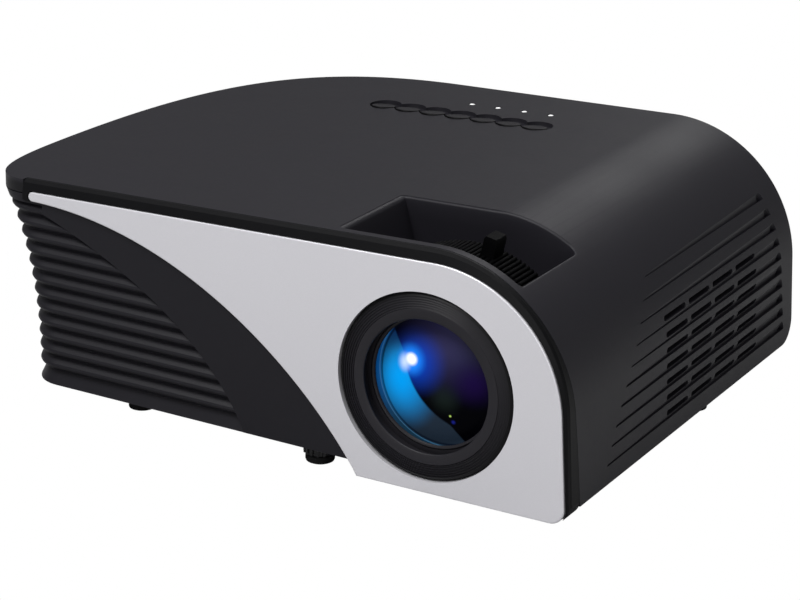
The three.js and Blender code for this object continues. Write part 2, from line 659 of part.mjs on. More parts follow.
function frontBezel() {
  const edge = frontProfile(bezel.bevelSide, bezel.bevelTop, bezel.cornerRadius, bezel.bottom,
    -halfWidth - over);
  const outer = frontProfile(0, 0, shoulderRadius, bezel.bottom, -halfWidth - over);
  const rimRearY = frontY + bezel.rimDepth;
  const stations = [[edge, frontY + seat], [outer, frontY + bezel.bevelDepth], [outer, rimRearY]];
  const rings = stations.map(([points, y]) => points.map(([x, z]) => new THREE.Vector3(x, y, z)));
  const inset = wall + gap;
  const inner = outline(frontProfile(inset, inset, shoulderRadius - inset, bezel.bottom, -halfWidth - over));
  const plate = prismY(inner, rimRearY - seat, plateRearY);
  const pocket = prismY(panelOutline(gap), frontY - over, plateFrontY);
  const region = prismY(bezelRegion(-gap, bezel.bottom), frontY - over, 0);
  const form = lofted(rings, seenFromFront).add(plate).intersect(region);
  return without(form, [pocket, rodY(lens.x, lens.z, frontY - over, 0, hood.spigotRadius + gap, roundFine)]);
}

function frontPanel() {
  const hole = rodY(lens.x, lens.z, frontY - over, 0, lens.holeRadius, roundFine);
  return prismY(panelOutline(0), frontY, panelRearY).subtract(hole);
}

// Lens and focus

function lensHood() {
  const front = frontY + hood.lipSetback;
  const shelf = plateFrontY - seat;
  const rear = plateRearY + gap;
  const inside = counted(hood.steps, (i) => {
    const share = i / hood.steps;
    const radius = hood.rimRadius - hood.stepDepth - share * (hood.rimRadius - hood.stepDepth - hood.bore);
    const y = front + share * hood.throat;
    return [[radius, y], [radius - hood.stepDepth, y + seat]];
  }).flat();
  return turnedOnLens([[hood.rimRadius, front], ...inside, [hood.bore, front + hood.throat],
    [hood.bore, rear],
    [hood.spigotRadius, rear], [hood.spigotRadius, shelf], [hood.rimRadius, shelf], [hood.rimRadius, front]]);
}

function lensSleeve() {
  const front = frontY + sleeve.frontSetback;
  const flangeY = plateRearY + gap + seat;
  const tube = ringOnLens(sleeve.bore, sleeve.radius, front, sleeve.rearY);
  const flange = ringOnLens(sleeve.bore, hood.spigotRadius, flangeY, flangeY + sleeve.flange);
  const [low, high] = [focusTravelPerRadian * focusLow, focusTravelPerRadian * focusHigh];
  const half = sleeve.slotWidth / 2;
  const straight = block(lens.x - sleeve.radius - over, lens.x - barrel.bore, focusPin.y + low - half,
    focusPin.y + high + half, lens.z - half, lens.z + half);
  return tube.add(flange).subtract(straight);
}

// A point on a circle round the lens axis, its angle counted from straight up towards +X
function aroundLens(radius, angle) {
  return [lens.x + radius * Math.sin(angle), lens.z + radius * Math.cos(angle)];
}

function gripAngle(i, count) {
  return focusTabAngle + gripHalfAngle * (2 * (i / count) - 1);
}

// The knurled outside of the grip, with its plain inside
function gripOutline() {
  const { gripRadius, toothDepth, teeth, gripWall } = focusRing;
  const far = counted(teeth, (i) => [
    aroundLens(gripRadius - toothDepth, gripAngle(i, teeth)),
    aroundLens(gripRadius, gripAngle(i + toothShare, teeth)),
    aroundLens(gripRadius, gripAngle(i + 1 - toothShare, teeth)),
  ]).flat();
  const end = aroundLens(gripRadius - toothDepth, gripAngle(teeth, teeth));
  const near = counted(teeth + 1, (i) => aroundLens(gripRadius - gripWall, gripAngle(teeth - i, teeth)));
  return outline([...far, end, ...near]);
}

function sector(inner, outer, steps) {
  const far = counted(steps + 1, (i) => aroundLens(outer, gripAngle(i, steps)));
  const near = counted(steps + 1, (i) => aroundLens(inner, gripAngle(steps - i, steps)));
  return outline([...far, ...near]);
}

// The slot that turns the ring's motion into the barrel's slide
function helicalSlot() {
  const steps = 8;
  const half = sleeve.slotWidth / 2;
  const [near, far] = [focusRing.bore - wall, focusRing.radius + wall];
  const rings = counted(steps + 1, (i) => {
    const turn = focusLow + (i / steps) * (focusHigh - focusLow);
    const y = focusPin.y + turn * focusTravelPerRadian;
    const past = ((i === steps) - (i === 0)) * (half / focusRing.bore);
    return [[near, y - half], [far, y - half], [far, y + half], [near, y + half]].map(([radius, place]) => {
      const [x, z] = aroundLens(radius, focusPinAngle - turn - past);
      return new THREE.Vector3(x, place, z);
    });
  });
  return lofted(rings, (point) => new THREE.Vector2(Math.hypot(point.x - lens.x, point.z - lens.z), point.y));
}

function focusRingForm() {
  const { bore, radius, gripRadius, gripWall, gripFrontY, gripRearY, knurlFrontY, toothDepth, web,
    teeth } = focusRing;
  const collar = ringOnLens(bore, radius, focusRing.frontY, focusRing.rearY);
  const rim = prismY(sector(gripRadius - gripWall, gripRadius - toothDepth, teeth / 2), gripFrontY,
    knurlFrontY);
  const knurl = prismY(gripOutline(), knurlFrontY - seat, gripRearY);
  const disk = prismY(sector(radius - wall / 2, gripRadius - gripWall / 2, teeth / 2), gripRearY - web,
    gripRearY);
  const low = gripRadius - gripWall / 2;
  const tab = solid(new THREE.BoxGeometry(focusTab.width, focusTab.length, focusTab.radius - low)
    .translate(0, focusTab.rearY - focusTab.length / 2, (focusTab.radius + low) / 2)
    .rotateY(focusTabAngle).translate(lens.x, 0, lens.z));
  return joined([collar, rim, knurl, disk, tab]).subtract(helicalSlot());
}

const barrelFrontY = frontY + barrel.setback;

function lensBarrel() {
  const rear = barrelFrontY + barrel.length;
  const { radius, bore, throatRadius, frontSeat, rearSeat } = barrel;
  const tube = turnedOnLens([[radius, barrelFrontY], [radius, rear], [bore, rear], [bore, rear - rearSeat],
    [throatRadius, rear - rearSeat], [throatRadius, barrelFrontY + frontSeat],
    [bore, barrelFrontY + frontSeat], [bore, barrelFrontY], [radius, barrelFrontY]]);
  const pinRoot = lens.x - (radius + bore) / 2;
  return tube.add(prismX(disc(focusPin.y, lens.z, focusPin.radius), lens.x - focusRing.radius, pinRoot));
}

// A lens with crowned faces, its edge between two places on the axis
function glass(place, { radius, open, edge, frontCrown, rearCrown }) {
  const steps = 4;
  const face = (y, crown) => {
    if (!crown) return [[0, y]];
    return counted(steps + 1, (i) => [open * (i / steps), y + crown * (1 - (i / steps) ** 2)]);
  };
  const front = [...face(place, -frontCrown), [radius, place]];
  const rear = [...face(place + edge, rearCrown), [radius, place + edge]].reverse();
  return turnedOnLens([...front, ...rear], roundFine - 4);
}

// The front lens stands in front of its seat and bulges through the retainer
function frontGlassForm() {
  return glass(barrelFrontY + seat + retainer.length + seat, frontGlass);
}

function rearGlassForm() {
  return glass(barrelFrontY + barrel.length - barrel.rearSeat + seat, rearGlass);
}

// Buttons and indicators

function button(i) {
  const { radius, crown, height, sunk, flange, flangeHeight } = buttons;
  const top = crown - seat - sunk;
  const base = top - height - crown;
  return turnedOnTop(buttonX(i), buttons.y, [[0, base], [flange, base], [flange, base + flangeHeight],
    [radius, base + flangeHeight], [radius, top - crown], [0, top]], roundSmall + 2);
}

const buttonBoardTop = -seat - buttons.sunk - buttons.height - buttons.travel - seat - buttonBoard.domeHeight;

function buttonBoardForm() {
  const x0 = buttonX(0) - buttonBoard.margin;
  const x1 = buttonX(buttons.count - 1) + buttonBoard.margin;
  const [y0, y1] = [buttons.y - buttonBoard.margin, indicators.y + buttonBoard.margin];
  const board = solid(new THREE.BoxGeometry(x1 - x0, y1 - y0, buttonBoard.thickness)
    .translate(0, (y0 + y1) / 2, buttonBoardTop - buttonBoard.thickness / 2).applyMatrix4(onTop((x0 + x1) / 2, 0)));
  const domes = counted(buttons.count, (i) => cylinderOnTop(buttonX(i), buttons.y, buttonBoardTop - seat,
    buttonBoardTop + buttonBoard.domeHeight, buttonBoard.domeRadius, roundHole));
  return joined([board, ...domes]);
}

function indicator(i) {
  const { radius, footRadius, footHeight } = indicators;
  const base = buttonBoardTop + seat;
  return turnedOnTop(indicatorX(i), indicators.y, [[0, base], [footRadius, base],
    [footRadius, base + footHeight], [radius, base + footHeight], [radius, 0], [0, 0]], 6);
}

// Feet and screws

function rubberFoot([x, y]) {
  const top = baseHeight - seat;
  const profile = [[0, 0], [foot.radius - foot.taper, 0], [foot.radius, foot.taper], [foot.radius, top],
    [0, top]];
  return turnedUpright(x, y, profile, roundSmall + 2);
}

function tiltFootPad() {
  const { x, y, padRadius, padHeight } = tiltFoot;
  const profile = [[0, 0], [padRadius - foot.taper, 0], [padRadius, foot.taper], [padRadius, padHeight],
    [0, padHeight]];
  return turnedUpright(x, y, profile, roundSmall + 4);
}

function tiltFootScrew() {
  const { x, y, padHeight, knobRadius, knobHeight, stud, studTop, notch, notches } = tiltFoot;
  const points = counted(notches * 2, (i) => {
    const angle = (i / notches) * Math.PI;
    const radius = i % 2 ? knobRadius - notch : knobRadius;
    return [x + radius * Math.cos(angle), y + radius * Math.sin(angle)];
  });
  const base = padHeight + seat;
  return prismZ(outline(points), base, base + knobHeight).add(postZ(x, y, base, studTop, stud, roundSmall));
}

function tiltFootNut() {
  const { x, y, nutRadius, nutHeight, stud } = tiltFoot;
  const top = baseHeight + nutHeight;
  return postZ(x, y, baseHeight, top, nutRadius, roundSmall).subtract(postZ(x, y, 0, over, stud + gap,
    roundSmall));
}

function caseScrew([x, y]) {
  const base = baseHeight + floorBoss.headDepth - seat - screw.headHeight;
  const tip = base + screw.length;
  return turnedUpright(x, y, [[0, base], [screw.head, base], [screw.head, base + screw.headHeight],
    [screw.shank, base + screw.headHeight], [screw.shank, tip - screw.shank], [0, tip]], roundSmall);
}

// Light path

function lightBoxPath(inset) {
  const { lampX, lampHalf, displayX, chamberX, lensWallY, rightX } = lightBox;
  const behindMirror = lens.x + axisY + (mirror.thickness + gap + lightBox.wall) * Math.SQRT2;
  const rearSide = axisY + displayHalf;
  const corners = [[lampX, axisY - lampHalf], [displayX, axisY - displayHalf],
    [chamberX, axisY - displayHalf],
    [chamberX, lensWallY], [rightX, lensWallY], [rightX, behindMirror - rightX],
    [behindMirror - rearSide, rearSide], [displayX, rearSide], [lampX, axisY + lampHalf]];
  return drawnIn(corners.map(([x, y]) => new THREE.Vector2(x, y)), inset).map((point) => [point.x, point.y]);
}

function lightBoxForm() {
  const { wall: thick, floor, height, lampX, lampHalf, lensWallY } = lightBox;
  const outer = prismZ(outline(lightBoxPath(0)), floor, floor + height);
  const inner = prismZ(outline(lightBoxPath(thick)), floor + thick, floor + height + over);
  const half = lampHalf - thick;
  const lampWindow = block(lampX - over, lampX + thick + seat, axisY - half, axisY + half, lens.z - half,
    lens.z + half);
  const lensWindow = rodY(lens.x, lens.z, lensWallY - over, lensWallY + over / 2, barrel.radius + gap);
  const cradle = block(condenser.x, condenser.x + condenser.edge, axisY - condenser.cradle / 2,
    axisY + condenser.cradle / 2, floor + thick / 2, lens.z - condenser.radius - seat);
  return without(outer, [inner, lampWindow, lensWindow]).add(cradle);
}

function lightBoxLid() {
  const { floor, height, lidThickness } = lightBox;
  const base = floor + height + seat;
  return prismZ(outline(lightBoxPath(0)), base, base + lidThickness);
}

function standingPlate(x, width, height, thickness) {
  return block(x - thickness / 2, x + thickness / 2, axisY - width / 2, axisY + width / 2,
    lens.z - height / 2, lens.z + height / 2);
}

function displayPanel() {
  const { x, width, height, thickness, frame } = display;
  const plate = standingPlate(x, width, height, thickness);
  const window = standingPlate(x - thickness * 0.75, width - 2 * frame, height - 2 * frame, thickness);
  return plate.subtract(window);
}

function fresnelLens(side) {
  return standingPlate(display.x + side * fresnel.spacing, fresnel.width, fresnel.height, fresnel.thickness);
}

function condenserLens() {
  const { x, radius, edge, crown } = condenser;
  const steps = 4;
  const bulge = counted(steps + 1, (i) => new THREE.Vector2(radius * (i / steps),
    edge + crown * (1 - (i / steps) ** 2)));
  const profile = [new THREE.Vector2(0, 0), new THREE.Vector2(radius, 0), ...bulge.reverse()];
  const form = new THREE.LatheGeometry(profile, round).rotateZ(-Math.PI / 2);
  return solid(form.translate(x, axisY, lens.z));
}

function mirrorForm() {
  const { length, height, thickness } = mirror;
  const depth = thickness / 2 / Math.SQRT2;
  const plate = new THREE.BoxGeometry(length, thickness, height);
  return solid(plate.rotateZ(-Math.PI / 4).translate(lens.x + depth, axisY + depth, lens.z));
}

const lampBoardX = lightBox.lampX - seat;

function lampBoardForm() {
  const { size, thickness, chip, chipHeight } = lampBoard;
  const x = lampBoardX;
  const plate = block(x - thickness, x, axisY - size / 2, axisY + size / 2, lens.z - size / 2,
    lens.z + size / 2);
  const light = block(x - thickness / 2, x + chipHeight, axisY - chip / 2, axisY + chip / 2,
    lens.z - chip / 2, lens.z + chip / 2);
  return plate.add(light);
}

function heatSinkForm() {
  const { base, fins, finThickness, depth, size } = heatSink;
  const face = lampBoardX - lampBoard.thickness - seat;
  const half = size / 2;
  const plate = block(face - base, face, axisY - half, axisY + half, lens.z - half, lens.z + half);
  const pitch = (size - finThickness) / (fins - 1);
  const plates = counted(fins, (i) => {
    const z = lens.z - half + i * pitch;
    return block(face - depth, face - base / 2, axisY - half, axisY + half, z, z + finThickness);
  });
  return joined([plate, ...plates]);
}

const fanHalf = fan.size / 2;

function fanFrame() {
  const { x, depth, bore, hub, strut, strutDepth, shaft, boltInset, boltRadius } = fan;
  const square = block(x, x + depth, axisY - fanHalf, axisY + fanHalf, lens.z - fanHalf, lens.z + fanHalf);
  const tunnel = prismX(disc(axisY, lens.z, bore), x - over, x + depth + over, round);
  const bolts = [-1, 1].flatMap((across) => [-1, 1].map((up) => {
    const reach = fanHalf - boltInset;
    return prismX(disc(axisY + across * reach, lens.z + up * reach, boltRadius), x - over, x + depth + over,
      roundPin);
  }));
  const arms = counted(4, (i) => {
    const bar = new THREE.BoxGeometry(strutDepth, strut, bore + wall).translate(0, 0, (bore + wall) / 2)
      .rotateX((i / 2 + 1 / 4) * Math.PI);
    return solid(bar.translate(x + strutDepth / 2, axisY, lens.z));
  });
  const plate = prismX(disc(axisY, lens.z, hub - gap), x, x + strutDepth, roundSmall + 2);
  const pin = prismX(disc(axisY, lens.z, shaft), x + strutDepth / 2, x + depth - strutDepth, roundHole);
  return joined([without(square, [tunnel, ...bolts]), ...arms, plate, pin]);
}

function fanRotor() {
  const { x, depth, bore, hub, blades, bladeThickness, strutDepth, shaft } = fan;
  const [near, far] = [x + strutDepth + gap, x + depth - gap];
  const cup = prismX(disc(axisY, lens.z, hub), near, far, roundSmall + 4);
  const hole = prismX(disc(axisY, lens.z, shaft + gap), near - over, far - strutDepth + gap, roundHole);
  const reach = bore - 2 * gap - hub / 2;
  const fins = counted(blades, (i) => {
    const blade = new THREE.BoxGeometry((far - near) / Math.cos(bladePitch), bladeThickness, reach)
      .rotateZ(bladePitch).translate(0, 0, hub / 2 + reach / 2).rotateX((i / blades) * 2 * Math.PI);
    return solid(blade.translate((near + far) / 2, axisY, lens.z));
  });
  const space = prismX(disc(axisY, lens.z, bore - gap), near, far, round);
  return joined([cup, ...fins]).intersect(space).subtract(hole);
}

// Boards, sockets and speaker

function circuitBoard({ x, y, width, depth }, parts) {
  const plate = block(x, x + width, y, y + depth, boardHeight, boardHeight + boardThickness);
  const chips = parts.map(([across, back, wide, deep, tall]) => {
    const [x0, y0] = [x + across * width, y + back * depth];
    const top = boardHeight + boardThickness;
    return block(x0, x0 + wide * width, y0, y0 + deep * depth, top - boardThickness / 2,
      top + tall * boardChipHeight);
  });
  return joined([plate, ...chips]);
}

// A metal socket with an open mouth at the rear and a tongue inside
function tonguedSocket({ x, width, height, depth, shell, tongue, chamfer = 0 }) {
  const z = onBoard(height);
  const rear = rearY;
  const [w, h] = [width / 2, height / 2];
  const [iw, ih] = [w - shell, h - shell];
  const slope = chamfer * (1 - shell / h);
  const body = outline([[x - w + chamfer, z - h], [x + w - chamfer, z - h], [x + w, z - h + chamfer],
    [x + w, z + h], [x - w, z + h], [x - w, z - h + chamfer]]);
  const mouth = outline([[x - iw + slope, z - ih], [x + iw - slope, z - ih], [x + iw, z - ih + slope],
    [x + iw, z + ih], [x - iw, z + ih], [x - iw, z - ih + slope]]);
  const floor = rear - depth + shell;
  const blade = block(x - iw + 2 * shell, x + iw - 2 * shell, floor - shell / 2, rear - 2 * shell,
    z - tongue / 2, z + tongue / 2);
  return prismY(body, rear - depth, rear).subtract(prismY(mouth, floor, rear + over)).add(blade);
}

function cardSlotForm() {
  const { x, width, height, depth, mouth, mouthWidth } = cardSlot;
  const z = onBoard(height);
  const rear = rearY;
  const body = block(x - width / 2, x + width / 2, rear - depth, rear, z - height / 2, z + height / 2);
  const throat = block(x - mouthWidth / 2, x + mouthWidth / 2, rear - depth + wall, rear + over,
    z - mouth / 2, z + mouth / 2);
  return body.subtract(throat);
}

function jackForm(x) {
  const { width, height, depth, bore, collar } = jack;
  const z = onBoard(height);
  const front = rearY - wall - seat;
  const body = block(x - width / 2, x + width / 2, front - depth, front, z - height / 2, z + height / 2);
  const neck = rodY(x, z, front - wall, rearY, collar, roundSmall);
  return body.add(neck).subtract(rodY(x, z, front - depth + wall, rearY + over, bore, roundHole));
}

function vgaOutline(grow) {
  const { x, z, shellWidth, shellHeight, slant } = vgaSocket;
  const [w, h] = [shellWidth / 2 + grow, shellHeight / 2 + grow];
  return outline([[x - w + slant, z - h], [x + w - slant, z - h], [x + w, z + h], [x - w, z + h]]);
}

function vgaForm() {
  const { x, z, width, height, depth, wall: metal } = vgaSocket;
  const front = rearY - wall - seat;
  const flange = block(x - width / 2, x + width / 2, front - depth, front, z - height / 2, z + height / 2);
  const shell = prismY(vgaOutline(0), front - metal, rearY);
  const core = prismY(vgaOutline(-metal - gap), front - metal, rearY - seat);
  return flange.add(shell.subtract(prismY(vgaOutline(-metal), front, rearY + over))).add(core);
}

function inletForm() {
  const { x, width, height, depth, mouthWidth, mouthHeight, mouthDepth, pin, pinSpacing, pinLength } = inlet;
  const z = onBoard(height);
  const rear = rearY;
  const body = block(x - width / 2, x + width / 2, rear - depth, rear, z - height / 2, z + height / 2);
  const radius = mouthHeight / 2;
  const mouth = new THREE.Shape();
  mouth.absarc(x + mouthWidth / 2 - radius, z, radius, -Math.PI / 2, Math.PI / 2);
  mouth.absarc(x - mouthWidth / 2 + radius, z, radius, Math.PI / 2, 1.5 * Math.PI);
  const floor = rear - mouthDepth;
  const pins = [-1, 1].map((side) => rodY(x + side * pinSpacing / 2, z, floor - seat, floor + pinLength,
    pin, roundPin));
  return joined([body.subtract(prismY(mouth, floor, rear + over, roundPin)), ...pins]);
}

function infraredWindow() {
  const { x, z, width, height, lip } = irWindow;
  const front = rearY - wall - seat;
  const [w, h] = [width / 2, height / 2];
  const flange = block(x - w - lip, x + w + lip, front - lip, front, z - h - lip, z + h + lip);
  return flange.add(block(x - w, x + w, front - lip, rearY, z - h, z + h));
}

function transformerForm() {
  const { y, width, depth, height } = transformer;
  const x = powerBoard.x + powerBoard.width / 2;
  const base = boardHeight + boardThickness + seat;
  const [w, d] = [width / 2, depth / 2];
  const core = block(x - w, x + w, y - d / 2, y + d / 2, base, base + height);
  const coil = block(x - w / 2, x + w / 2, y - d, y + d, base + height / 4, base + height * 3 / 4);
  return core.add(coil);
}

function speakerForm() {
  const { x, y, radius, frame, coneDepth, magnet, magnetDepth } = speaker;
  const z = floorTop + radius + gap;
  const profile = [[0, coneDepth - frame], [radius * 0.8, frame], [radius * 0.85, 0], [radius, 0],
    [radius, frame], [magnet, coneDepth], [magnet, coneDepth + magnetDepth], [0, coneDepth + magnetDepth]];
  const points = profile.map(([r, back]) => new THREE.Vector2(r, back));
  return solid(new THREE.LatheGeometry(points, round).rotateZ(Math.PI / 2).translate(x, y, z));
}

// Finishes

const finishes = {
  charcoal: { color: 0x38383a, roughness: 0.62, metalness: 0 },
  silver: { color: 0xc4c3c8, roughness: 0.35, metalness: 0.2 },
  gloss: { color: 0x111113, roughness: 0.3, metalness: 0 },
  glass: { color: 0x2b4a7a, roughness: 0.05, metalness: 0 },
  rubber: { color: 0x1b1b1c, roughness: 0.9, metalness: 0 },
  steel: { color: 0x9a9a9c, roughness: 0.35, metalness: 1 },
  aluminium: { color: 0xb4b6b8, roughness: 0.45, metalness: 1 },
  brass: { color: 0xb3904f, roughness: 0.4, metalness: 1 },
  laminate: { color: 0x1f5a34, roughness: 0.55, metalness: 0 },
  clear: { color: 0xe8eef0, roughness: 0.2, metalness: 0 },
  mirror: { color: 0xdfe3e6, roughness: 0.03, metalness: 1 },
};

const projector = new THREE.Group();

function place(name, form, finish) {
  const { vertProperties, triVerts } = form.asOriginal().simplify(smoothing).getMesh();
  const geometry = new THREE.BufferGeometry();
  geometry.setAttribute("position", new THREE.BufferAttribute(vertProperties, 3));
  geometry.setIndex(new THREE.BufferAttribute(triVerts, 1));
  geometry.computeVertexNormals();
  const mesh = new THREE.Mesh(geometry, new THREE.MeshStandardMaterial(finishes[finish]));
  mesh.name = name;
  projector.add(mesh);
}

place("top_cover", topCover(), "charcoal");
place("bottom_case", bottomCase(), "charcoal");
place("front_bezel", frontBezel(), "charcoal");
place("front_panel", frontPanel(), "silver");
place("lens_hood", lensHood(), "gloss");
place("lens_sleeve", lensSleeve(), "gloss");
place("focus_ring", focusRingForm(), "gloss");
place("ring_clip", ringOnLens(sleeve.radius + seat, focusRing.radius, focusRing.rearY + gap,
  focusRing.rearY + gap + clipWidth), "steel");
place("lens_barrel", lensBarrel(), "gloss");
place("lens_retainer", ringOnLens(retainer.bore, retainer.radius, barrelFrontY + seat,
  barrelFrontY + seat + retainer.length), "gloss");
place("front_lens", frontGlassForm(), "glass");
place("rear_lens", rearGlassForm(), "glass");
for (let i = 0; i < buttons.count; i += 1) place(`button_${i + 1}`, button(i), "charcoal");
for (let i = 0; i < indicators.count; i += 1) place(`indicator_${i + 1}`, indicator(i), "clear");
place("button_board", buttonBoardForm(), "laminate");
feet.forEach((spot, i) => place(`foot_${i + 1}`, rubberFoot(spot), "rubber"));
place("tilt_foot_pad", tiltFootPad(), "rubber");
place("tilt_foot_screw", tiltFootScrew(), "gloss");
place("tilt_foot_nut", tiltFootNut(), "brass");
columns.forEach((spot, i) => place(`case_screw_${i + 1}`, caseScrew(spot), "steel"));
place("light_box", lightBoxForm(), "gloss");
place("light_box_lid", lightBoxLid(), "gloss");
place("display_panel", displayPanel(), "glass");
place("fresnel_lens_lamp_side", fresnelLens(-1), "clear");
place("fresnel_lens_mirror_side", fresnelLens(1), "clear");
place("condenser_lens", condenserLens(), "clear");
place("fold_mirror", mirrorForm(), "mirror");
place("lamp_board", lampBoardForm(), "aluminium");
place("heat_sink", heatSinkForm(), "aluminium");
place("fan_frame", fanFrame(), "gloss");
place("fan_rotor", fanRotor(), "gloss");
place("main_board", circuitBoard(mainBoard, mainBoardShares), "laminate");
place("power_board", circuitBoard(powerBoard, powerBoardShares), "laminate");
place("transformer", transformerForm(), "steel");
place("hdmi_socket", tonguedSocket(hdmiSocket), "steel");
place("usb_socket", tonguedSocket(usbSocket), "steel");
place("card_slot", cardSlotForm(), "steel");
jack.xs.forEach((x, i) => place(jackNames[i], jackForm(x), "gloss"));
place("vga_socket", vgaForm(), "steel");
place("power_inlet", inletForm(), "gloss");
place("infrared_window", infraredWindow(), "gloss");
place("speaker", speakerForm(), "gloss");

export default projector;
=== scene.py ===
"""A compact video projector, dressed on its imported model: shells, lens group, keys, feet and sockets."""

import math

import bmesh
import bpy
from bpy.props import FloatProperty, FloatVectorProperty, IntProperty, PointerProperty
from mathutils import Matrix, Vector


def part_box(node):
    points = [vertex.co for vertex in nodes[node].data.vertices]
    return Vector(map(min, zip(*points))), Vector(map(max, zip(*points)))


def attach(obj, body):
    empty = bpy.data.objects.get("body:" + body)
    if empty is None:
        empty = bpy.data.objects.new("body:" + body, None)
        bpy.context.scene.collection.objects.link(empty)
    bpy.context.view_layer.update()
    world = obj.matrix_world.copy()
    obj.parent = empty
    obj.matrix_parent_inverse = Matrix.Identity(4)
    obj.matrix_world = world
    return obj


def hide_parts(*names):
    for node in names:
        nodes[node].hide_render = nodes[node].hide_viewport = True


bl_info = {
    "name": "Video projector",
    "version": (1, 0, 0),
    "blender": (4, 5, 0),
    "location": "View3D > Sidebar > Projector",
    "description": "Dresses the packed video projector with moulded shells, optics, keys, feet and sockets",
    "category": "Object",
}

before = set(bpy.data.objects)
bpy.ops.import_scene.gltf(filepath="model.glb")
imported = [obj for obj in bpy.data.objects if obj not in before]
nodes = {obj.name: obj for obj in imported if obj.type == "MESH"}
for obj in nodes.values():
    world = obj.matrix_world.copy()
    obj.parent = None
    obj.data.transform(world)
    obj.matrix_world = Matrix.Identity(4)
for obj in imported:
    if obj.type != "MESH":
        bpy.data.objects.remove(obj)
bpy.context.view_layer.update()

MM = 0.001

# Sizes in millimetres: the housing
WIDTH, DEPTH = 203.0, 164.0
FACE_HEIGHT, FACE_GAP, BASE = 73.5, 3.0, 6.5
WALL, FIT, SEAM, SEAT, OVER = 2.2, 0.3, 0.1, 0.2, 20.0
TOP_SLOPE, WALL_LEAN = math.radians(1.74), math.radians(4.04)
SHOULDER, SKIRT, BASE_ROUND = 43.3, 4.2, 8.0
LEFT_LEAN, LEAN_START, LEAN_POWER = 11.7, -40.0, 2.5
HALF, FRONT, REAR = WIDTH / 2, -DEPTH / 2, DEPTH / 2
TOP = FACE_GAP + FACE_HEIGHT
FACE_STEP = 1.0
REAR_CURVE = ((-25.2, REAR), (-86.6, REAR), (-HALF, 36.1), (-HALF, -42.0))
FRONT_CURVE = ((-HALF, -43.1), (-HALF, -63.3), (-99.4, FRONT + FACE_STEP), (-85.1, FRONT + FACE_STEP))
RIBS = {"count": 12, "pitch": 4.43, "lowest": 10.5, "depth": 2.0, "proud": 0.1, "power": 1.4}
RIB_SHARES = (0.0, 0.05, 0.12, 0.22, 0.36, 0.5, 0.64, 0.78, 0.88, 0.95)
RIB_TOP = RIBS["lowest"] + RIBS["count"] * RIBS["pitch"]
RIB_TIPS = ((-78.0, 61.0), (-53.0, 52.0), (-19.1, 35.2), (-6.0, 7.0))
SMOOTH_REAR = -52.0
COLUMNS = ((-76.0, -66.0), (93.0, -45.5), (91.0, 70.0), (-58.0, 62.0))
COVER_BOSS = {"radius": 3.2, "foot": 11.3, "hole": 1.7, "hole_foot": 5.0, "hole_top": 24.0}
FLOOR_BOSS = {"radius": 5.0, "foot": BASE + 0.5, "top": 11.0, "hole": 1.8, "nut": 4.6, "reach": 30.0,
              "head": 3.1, "head_top": BASE + 2.6}
LEFT_VENT = {"y": -8.0, "width": 44.0, "height": 1.5, "first": 2, "rows": 7, "end": -82.9}
GROOVES = {"count": 10, "pitch": 4.87, "lowest": 12.0, "start": -56.4, "start_step": 2.9,
           "start_bend": 0.0166, "end": 74.9, "end_step": 0.5, "round": 1.8}
GROOVE_RISE, GROOVE_DEPTH = (0.6, 2.6, 2.9), (0.4, 0.8, 1.7)
SLOTS = {"rows": 7, "columns": 4, "y": -16.3, "length": 15.3, "pitch": 17.7, "height": 1.7, "above": 2.0}
VGA_WINDOW, INFRARED_WINDOW = (11.2, 28.8, 35.5, 44.5), (-20.3, -7.7, 37.7, 46.3)
JACK_WINDOW = 3.5

# The bezel, the bright panel and the finger well
PANEL_REAR = FRONT + 2.3
PLATE_FRONT = PANEL_REAR + SEAT
PLATE_REAR = PLATE_FRONT + 2.2
BEZEL = {"left": -84.8, "foot": 3.6, "depth": 2.8, "bevel": 2.2, "plate": 2.6}
BEZEL_MIDDLE = (0.35, 0.85, SHOULDER - 1.1)
SWEEP = ((-81.0, 64.6), (-30.4, 64.6), (11.6, 34.1), (33.0, 3.0))
PANEL_EDGE = (1.64, 3.68, 40.3)
PANEL = {"corner": 4.5, "below": 0.15, "tip_rise": 0.27, "sweep_out": 0.3, "sweep_below": 0.7, "hole": 28.2}
STRIP_TOP, STRIP_LEFT = 66.0, 72.0
STRIP_EDGE = ((66.0, 2.8), (55.0, 3.6), (36.0, 5.2), (21.0, 6.5), (6.0, 7.4), (0.0, 7.4))
WELL = {"left": 23.9, "right": 80.6, "near": -75.4, "far": -40.6, "wall": 1.6, "soft": 1.2, "rim": 0.8,
        "lean": 0.3, "lean_end": 60.0, "walls_foot": 46.0, "cut_foot": 40.0, "space_foot": 26.0}
WELL_LOW = {"near": 61.0, "left": 54.0, "right": 60.0}
WELL_CORNERS = (0.6, 1.2, 2.6, 0.6)

# The lens group
LENS_X, LENS_Z = 55.0, 34.4
LENS_FACE = FRONT + 0.3
BARREL_FRONT = FRONT + 3.9
SPIGOT = 25.2
HOOD = {"side": 27.95, "radius": 27.0, "face": 26.8, "bore": 23.3, "ridge": 0.35}
SLEEVE = {"lip": 20.0, "face": 23.2, "radius": 23.0, "bore": 21.9, "waist": 21.75, "waist_end": -70.0,
          "rear": -39.0, "flange": 2.0, "lip_depth": 0.6}
PIN = {"y": -62.0, "radius": 1.4, "slot": 1.7, "out": 3.93, "in": 1.57, "root": 20.9, "slot_in": 20.2,
       "slot_out": 43.0}
BARREL = {"radius": 21.65, "bore": 20.2, "throat": 17.5, "length": 36.0, "front_seat": 9.0, "rear_seat": 5.0,
          "start": 1.1}
THREADS = {"count": 8, "first": 1.6, "pitch": 0.9, "depth": 0.1}
RETAINER = {"radius": 20.1, "face": 19.7, "length": 1.4}
GLASS_RADIUS = 19.9
FOCUS_RING = {"bore": 23.3, "front": -74.6, "rear": -50.0, "clip": 1.2}
